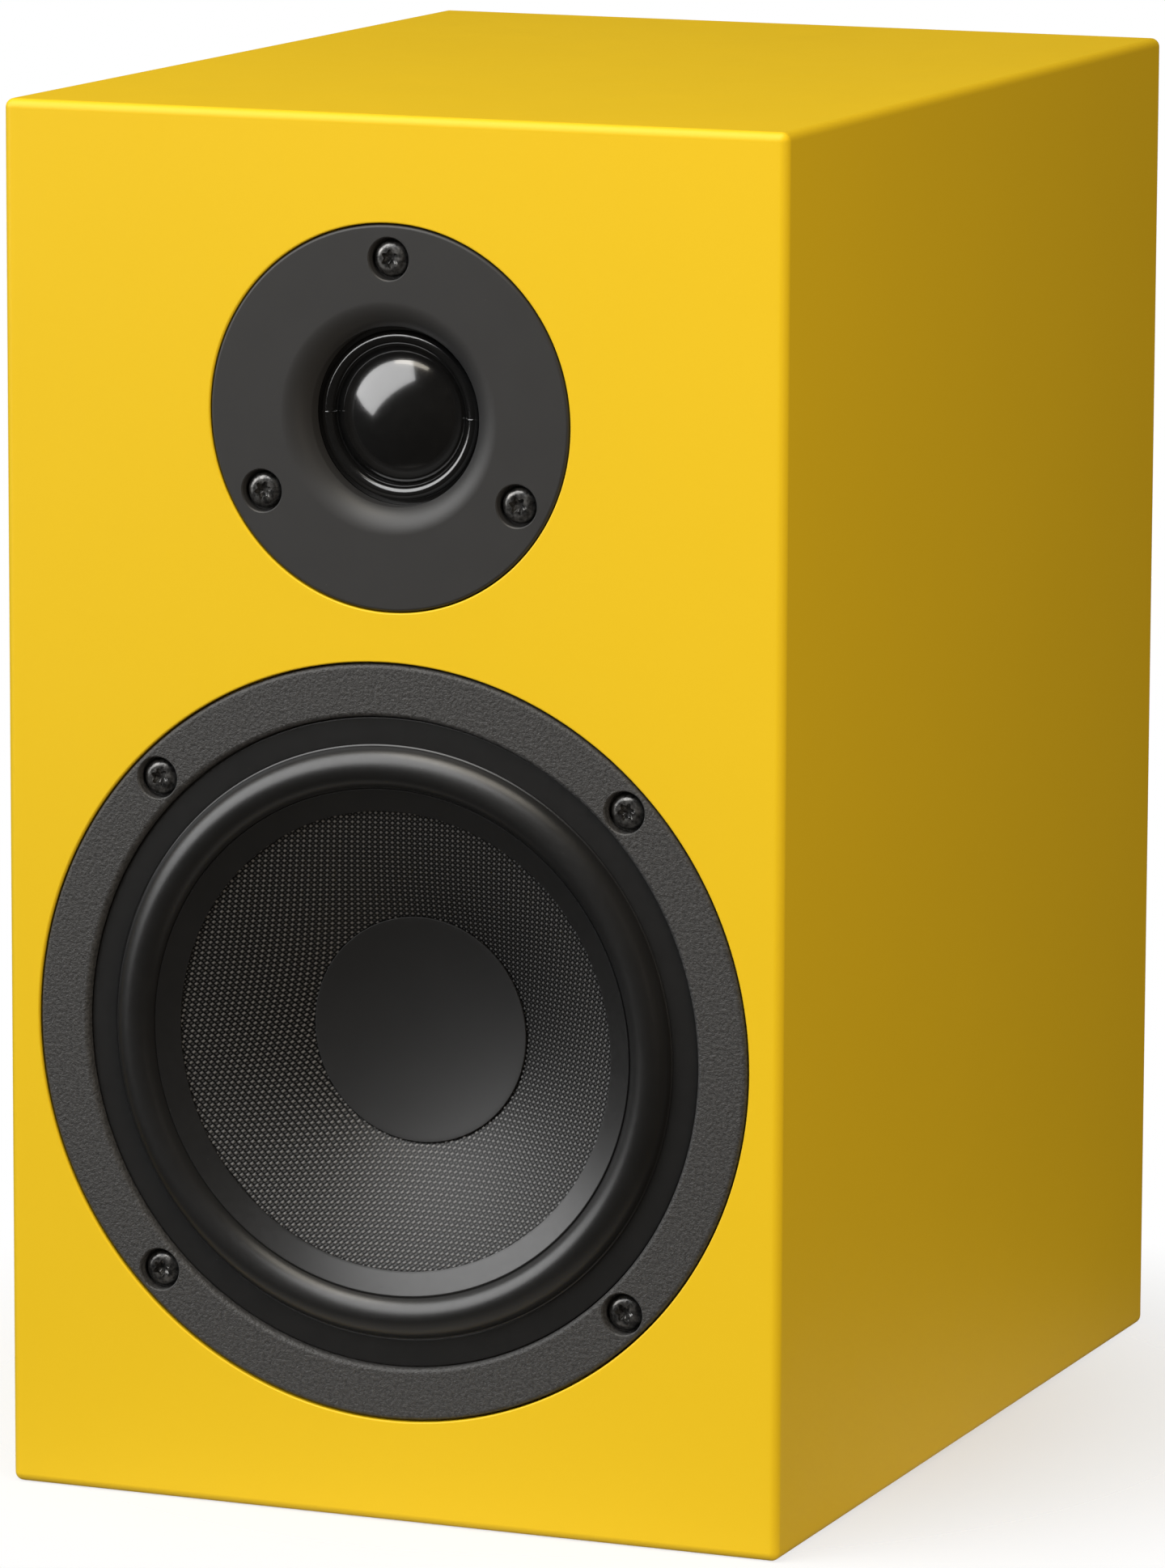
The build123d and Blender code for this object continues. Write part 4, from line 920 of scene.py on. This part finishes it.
def terminal_cup():
    """Moulded plate with a sunken tray. A raised plus and minus mark the two posts."""
    steps = [
        (60.0, 42.0, 5.0, -25.0),
        (60.0, 42.0, 5.0, 0.5),
        (78.0, 60.0, 5.0, 0.5),
        (78.0, 60.0, 5.0, 1.9),
        (77.5, 59.5, 4.8, 2.35),
        (76.6, 58.6, 4.4, 2.5),
        (57.2, 39.2, 4.8, 2.5),
        (56.2, 38.2, 4.3, 2.2),
        (55.6, 37.6, 4.0, 1.5),
        (55.6, 37.6, 4.0, -21.2),
        (55.2, 37.2, 3.8, -21.8),
        (54.2, 36.2, 3.4, -22.0),
    ]
    cup = loft("terminal_cup", [rounded_rectangle(*step) for step in steps], cup_place)
    tools = [plug(3.1, -26, -21, cup_place, x, 0) for x in post_sides]
    for x, z in cup_screw_points:
        bore = [(0, 3.5), (3.2, 3.5), (3.0, 2.4), (3.0, 0.9), (1.65, 0.9), (1.65, -4), (0, -4)]
        tools.append(turned("tool", bore, cup_place + Vector((x, 0, z)), 64))
    combine(cup, "DIFFERENCE", tools)
    for x in post_sides:
        marks = [bar("tool", (x - 2.2, -22.4, 11.6), (x + 2.2, -21.4, 12.4), cup_place)]
        if x > 0:
            marks.append(bar("tool", (x - 0.4, -22.4, 9.8), (x + 0.4, -21.4, 14.2), cup_place))
        combine(cup, "UNION", marks)
    fit(cup, cup_plastic, "cup_plastic", "cabinet", "terminal_cup")


def cup_screws():
    """Small pan-head screws with a cross socket."""
    crown = arc((2.8, 1.4), (2.1, 2.15), (0, 2.4), 8)
    outline = [(0, -10.1), (0.2, -10.1), (1.45, -7.6), (1.45, 0.9), (2.65, 0.9), (2.8, 1.05), *crown]
    screw = turned("tool", outline, steps=64)
    arms = [bar("tool", (-a, 1.3, -b), (a, 3.4, b)) for a, b in ((1.5, 0.3), (0.3, 1.5))]
    combine(screw, "DIFFERENCE", arms)
    shape = shape_of(screw)
    groups = [(turned_about(shape, angle), point) for angle, point in zip((10, 52, 33, 75), cup_screw_points)]
    fit(joined("cup_screws", groups, cup_place), oxide, "black_screw", "cabinet", "cup_screws")


def knob_flutes(radius, depth, angle):
    """Twenty-four flutes round a knob, with a plain flange at its inner end."""
    plain_radius, flange_end, bite, count = 6.0, -15.2, 0.55, 24
    if radius < plain_radius or depth < flange_end:
        return radius
    return radius - bite * max(0.0, cos(count * angle)) ** 0.7


def binding_post(colour, x, plastic):
    place = cup_place + Vector((x, 0, 0))
    post = [(0, -38.0), (2.7, -38.0), (3.0, -37.6), (3.0, -22.0), (6.0, -22.0), (6.0, -19.8), (5.7, -19.5)]
    post += [(4.6, -19.5), (4.6, -18.2), (4.4, -18.0), (3.0, -18.0), (3.0, -2.3), (2.7, -2.0), (2.2, -2.0)]
    post += [(2.0, -2.3), (2.0, -14.2), (0, -14.7)]
    stem = turned(colour + "_post", post, place, 96)
    hole = plug(1.4, -6, 6, steps=48)
    hole.data.transform(Matrix.Rotation(radians(90), 4, "Z"))
    hole.data.transform(Matrix.Translation((place + Vector((0, -16.2, 0))) * MM))
    combine(stem, "DIFFERENCE", [hole])
    fit(stem, gilt, "gilt_brass", "cabinet", colour + "_post")
    washer_outline = eased([(3.05, -18.0), (5.6, -18.0, 0.25), (5.6, -16.8, 0.25), (3.05, -16.8)])
    washer = turned(colour + "_clamp_washer", washer_outline, place, 96)
    fit(washer, gilt, "gilt_brass", colour + "_clamp", colour + "_clamp_washer")
    outside = eased([(7.0, -16.8, 0.3), (7.0, -15.4, 0.2)])
    steps_out = [(7.0, -15.1), (7.0, -10.0), (7.0, -5.0), (7.0, -1.0), (6.85, -0.45), (6.5, 0.0), (6.1, 0.2)]
    mouth = [(3.7, 0.2), (3.5, 0.1), (3.4, -0.2), (3.4, -2.5), (3.05, -2.5), (3.05, -16.8)]
    knob = turned(colour + "_knob", [*outside, *steps_out, *mouth], place, 288, knob_flutes)
    fit(knob, plastic, colour + "_plastic", colour + "_nut", colour + "_knob")


port()
terminal_cup()
cup_screws()
for colour, x, plastic in zip(("red", "black"), post_sides, (red_plastic, black_plastic)):
    binding_post(colour, x, plastic)


# ---------------------------------------------------------------- finishes of the frame's own nodes
for finish, nodes in {
    foam: ("woofer_gasket", "tweeter_gasket", "cup_gasket"),
    alloy: ("woofer_former", "tweeter_former"),
    coil_copper: ("woofer_voice_coil", "tweeter_voice_coil"),
    inductor_copper: ("bass_inductor", "treble_inductor"),
    zinc_steel: (
        "woofer_top_plate",
        "woofer_rivets",
        "woofer_yoke",
        "tweeter_top_plate",
        "tweeter_yoke",
        "post_nuts",
        "crossover_screws",
    ),
    ferrite: ("woofer_magnet", "tweeter_magnet"),
    fibre_board: ("woofer_terminal_board", "tweeter_terminal_board"),
    board_green: ("crossover_board",),
    tinned: ("woofer_blades", "tweeter_blades", "post_lugs", "push_on_sockets"),
    felt: ("tweeter_felt_pad",),
    nylon: ("crossover_spacers",),
    film_can: ("bass_capacitor", "treble_capacitor"),
    ceramic: ("crossover_resistor",),
    sleeve: ("woofer_wires", "tweeter_wires", "input_wires"),
    wadding_fibre: ("wadding",),
}.items():
    finish.put_on(*nodes)


# ---------------------------------------------------------------- floor, light and camera
def studio_floor():
    """Plain pale floor that fades into the white studio round it."""
    finish = Finish("pale_floor", Emission_Strength=0.22)
    away = finish.node("VectorMath", {"operation": "LENGTH"}, {0: finish.place()}, "Value")
    finish.feed("Base Color", finish.mix(finish.noise(60.0), grey(0.62), grey(0.66)))
    finish.feed("Emission Color", finish.mix(finish.noise(90.0), grey(0.98), grey(1.0)))
    finish.feed("Roughness", finish.noise(30.0) * 0.1 + 0.6)
    near, far = 0.0, 190.0
    edge = (far - away) * (1 / (far - near))
    finish.feed("Alpha", edge.maths("SMOOTH_MIN", edge, 1.0, 0.2))
    reach = 1000.0
    corners = [(-reach, -reach, -0.05), (reach, -reach, -0.05), (reach, reach, -0.05), (-reach, reach, -0.05)]
    floor = make_piece("studio_floor", corners, [(0, 1, 2, 3)])
    if floor.data.polygons[0].normal.z < 0:
        floor.data.flip_normals()
    finish.put_on(floor)


def softbox(name, place, aim, width, height, watts, colour=(1, 1, 1), roll=0, glossy=True):
    """A rectangular soft light at a place, facing aim, both in millimetres, rolled by an angle in degrees.

    One that isn't glossy lights a face without being reflected in it.
    """
    lamp = bpy.data.lights.new(name, "AREA")
    lamp.shape, lamp.size, lamp.size_y = "RECTANGLE", width * MM, height * MM
    lamp.energy, lamp.color = watts, colour
    light = bpy.data.objects.new(name, lamp)
    bpy.context.scene.collection.objects.link(light)
    light.location = Vector(place) * MM
    facing = (Vector(place) - Vector(aim)).to_track_quat("Z", "Y").to_matrix()
    light.rotation_euler = (facing @ Matrix.Rotation(radians(roll), 3, "Z")).to_euler()
    light.visible_camera, light.visible_glossy = False, glossy


def camera():
    azimuth, elevation, roll = radians(22.239), radians(9.915), 0.003893
    back = Vector((sin(azimuth) * cos(elevation), -cos(azimuth) * cos(elevation), sin(elevation)))
    right = (-back).cross(Vector((0, 0, 1))).normalized()
    up = right.cross(-back)
    across = right * cos(roll) + up * sin(roll)
    upwards = up * cos(roll) - right * sin(roll)
    lens = bpy.data.cameras.new("camera")
    lens.lens, lens.sensor_width, lens.clip_end = 205.08, 36.0, 50.0
    view = bpy.data.objects.new("camera", lens)
    bpy.context.scene.collection.objects.link(view)
    turn = Matrix((across, upwards, back)).transposed().to_4x4()
    stand = Vector((672.7, -1655.3, 440.5))
    view.matrix_world = Matrix.Translation(stand * MM) @ turn
    bpy.context.scene.camera = view


def white_studio():
    """White all round, though dim enough as a light that the lamps shape the object."""
    world = bpy.data.worlds.new("white_studio")
    world.use_nodes = True
    tree = world.node_tree
    glow = tree.nodes["Background"]
    glow.inputs["Color"].default_value = (1.0, 0.96, 0.91, 1)
    glow.inputs["Strength"].default_value = 0.03
    white = tree.nodes.new("ShaderNodeBackground")
    white.inputs["Color"].default_value = (1, 1, 1, 1)
    seen, ray = tree.nodes.new("ShaderNodeMixShader"), tree.nodes.new("ShaderNodeLightPath")
    tree.links.new(ray.outputs["Is Camera Ray"], seen.inputs[0])
    tree.links.new(glow.outputs[0], seen.inputs[1])
    tree.links.new(white.outputs[0], seen.inputs[2])
    tree.links.new(seen.outputs[0], tree.nodes["World Output"].inputs[0])
    bpy.context.scene.world = world


studio_floor()
middle = (0, 0, HEIGHT / 2)
softbox("key", (-950, -1000, 1150), middle, 2400, 1500, 42, roll=57)
softbox("overhead", (-50, -350, 1500), middle, 1000, 800, 9, (1.0, 0.93, 0.80))
softbox("right_fill", (1000, -900, 420), middle, 500, 1100, 13, (1.0, 0.87, 0.72), glossy=False)
softbox("back", (-350, 1500, 80), middle, 900, 400, 11, glossy=False)
camera()
white_studio()
bpy.context.scene.view_settings.view_transform = "Standard"

bpy.context.view_layer.update()
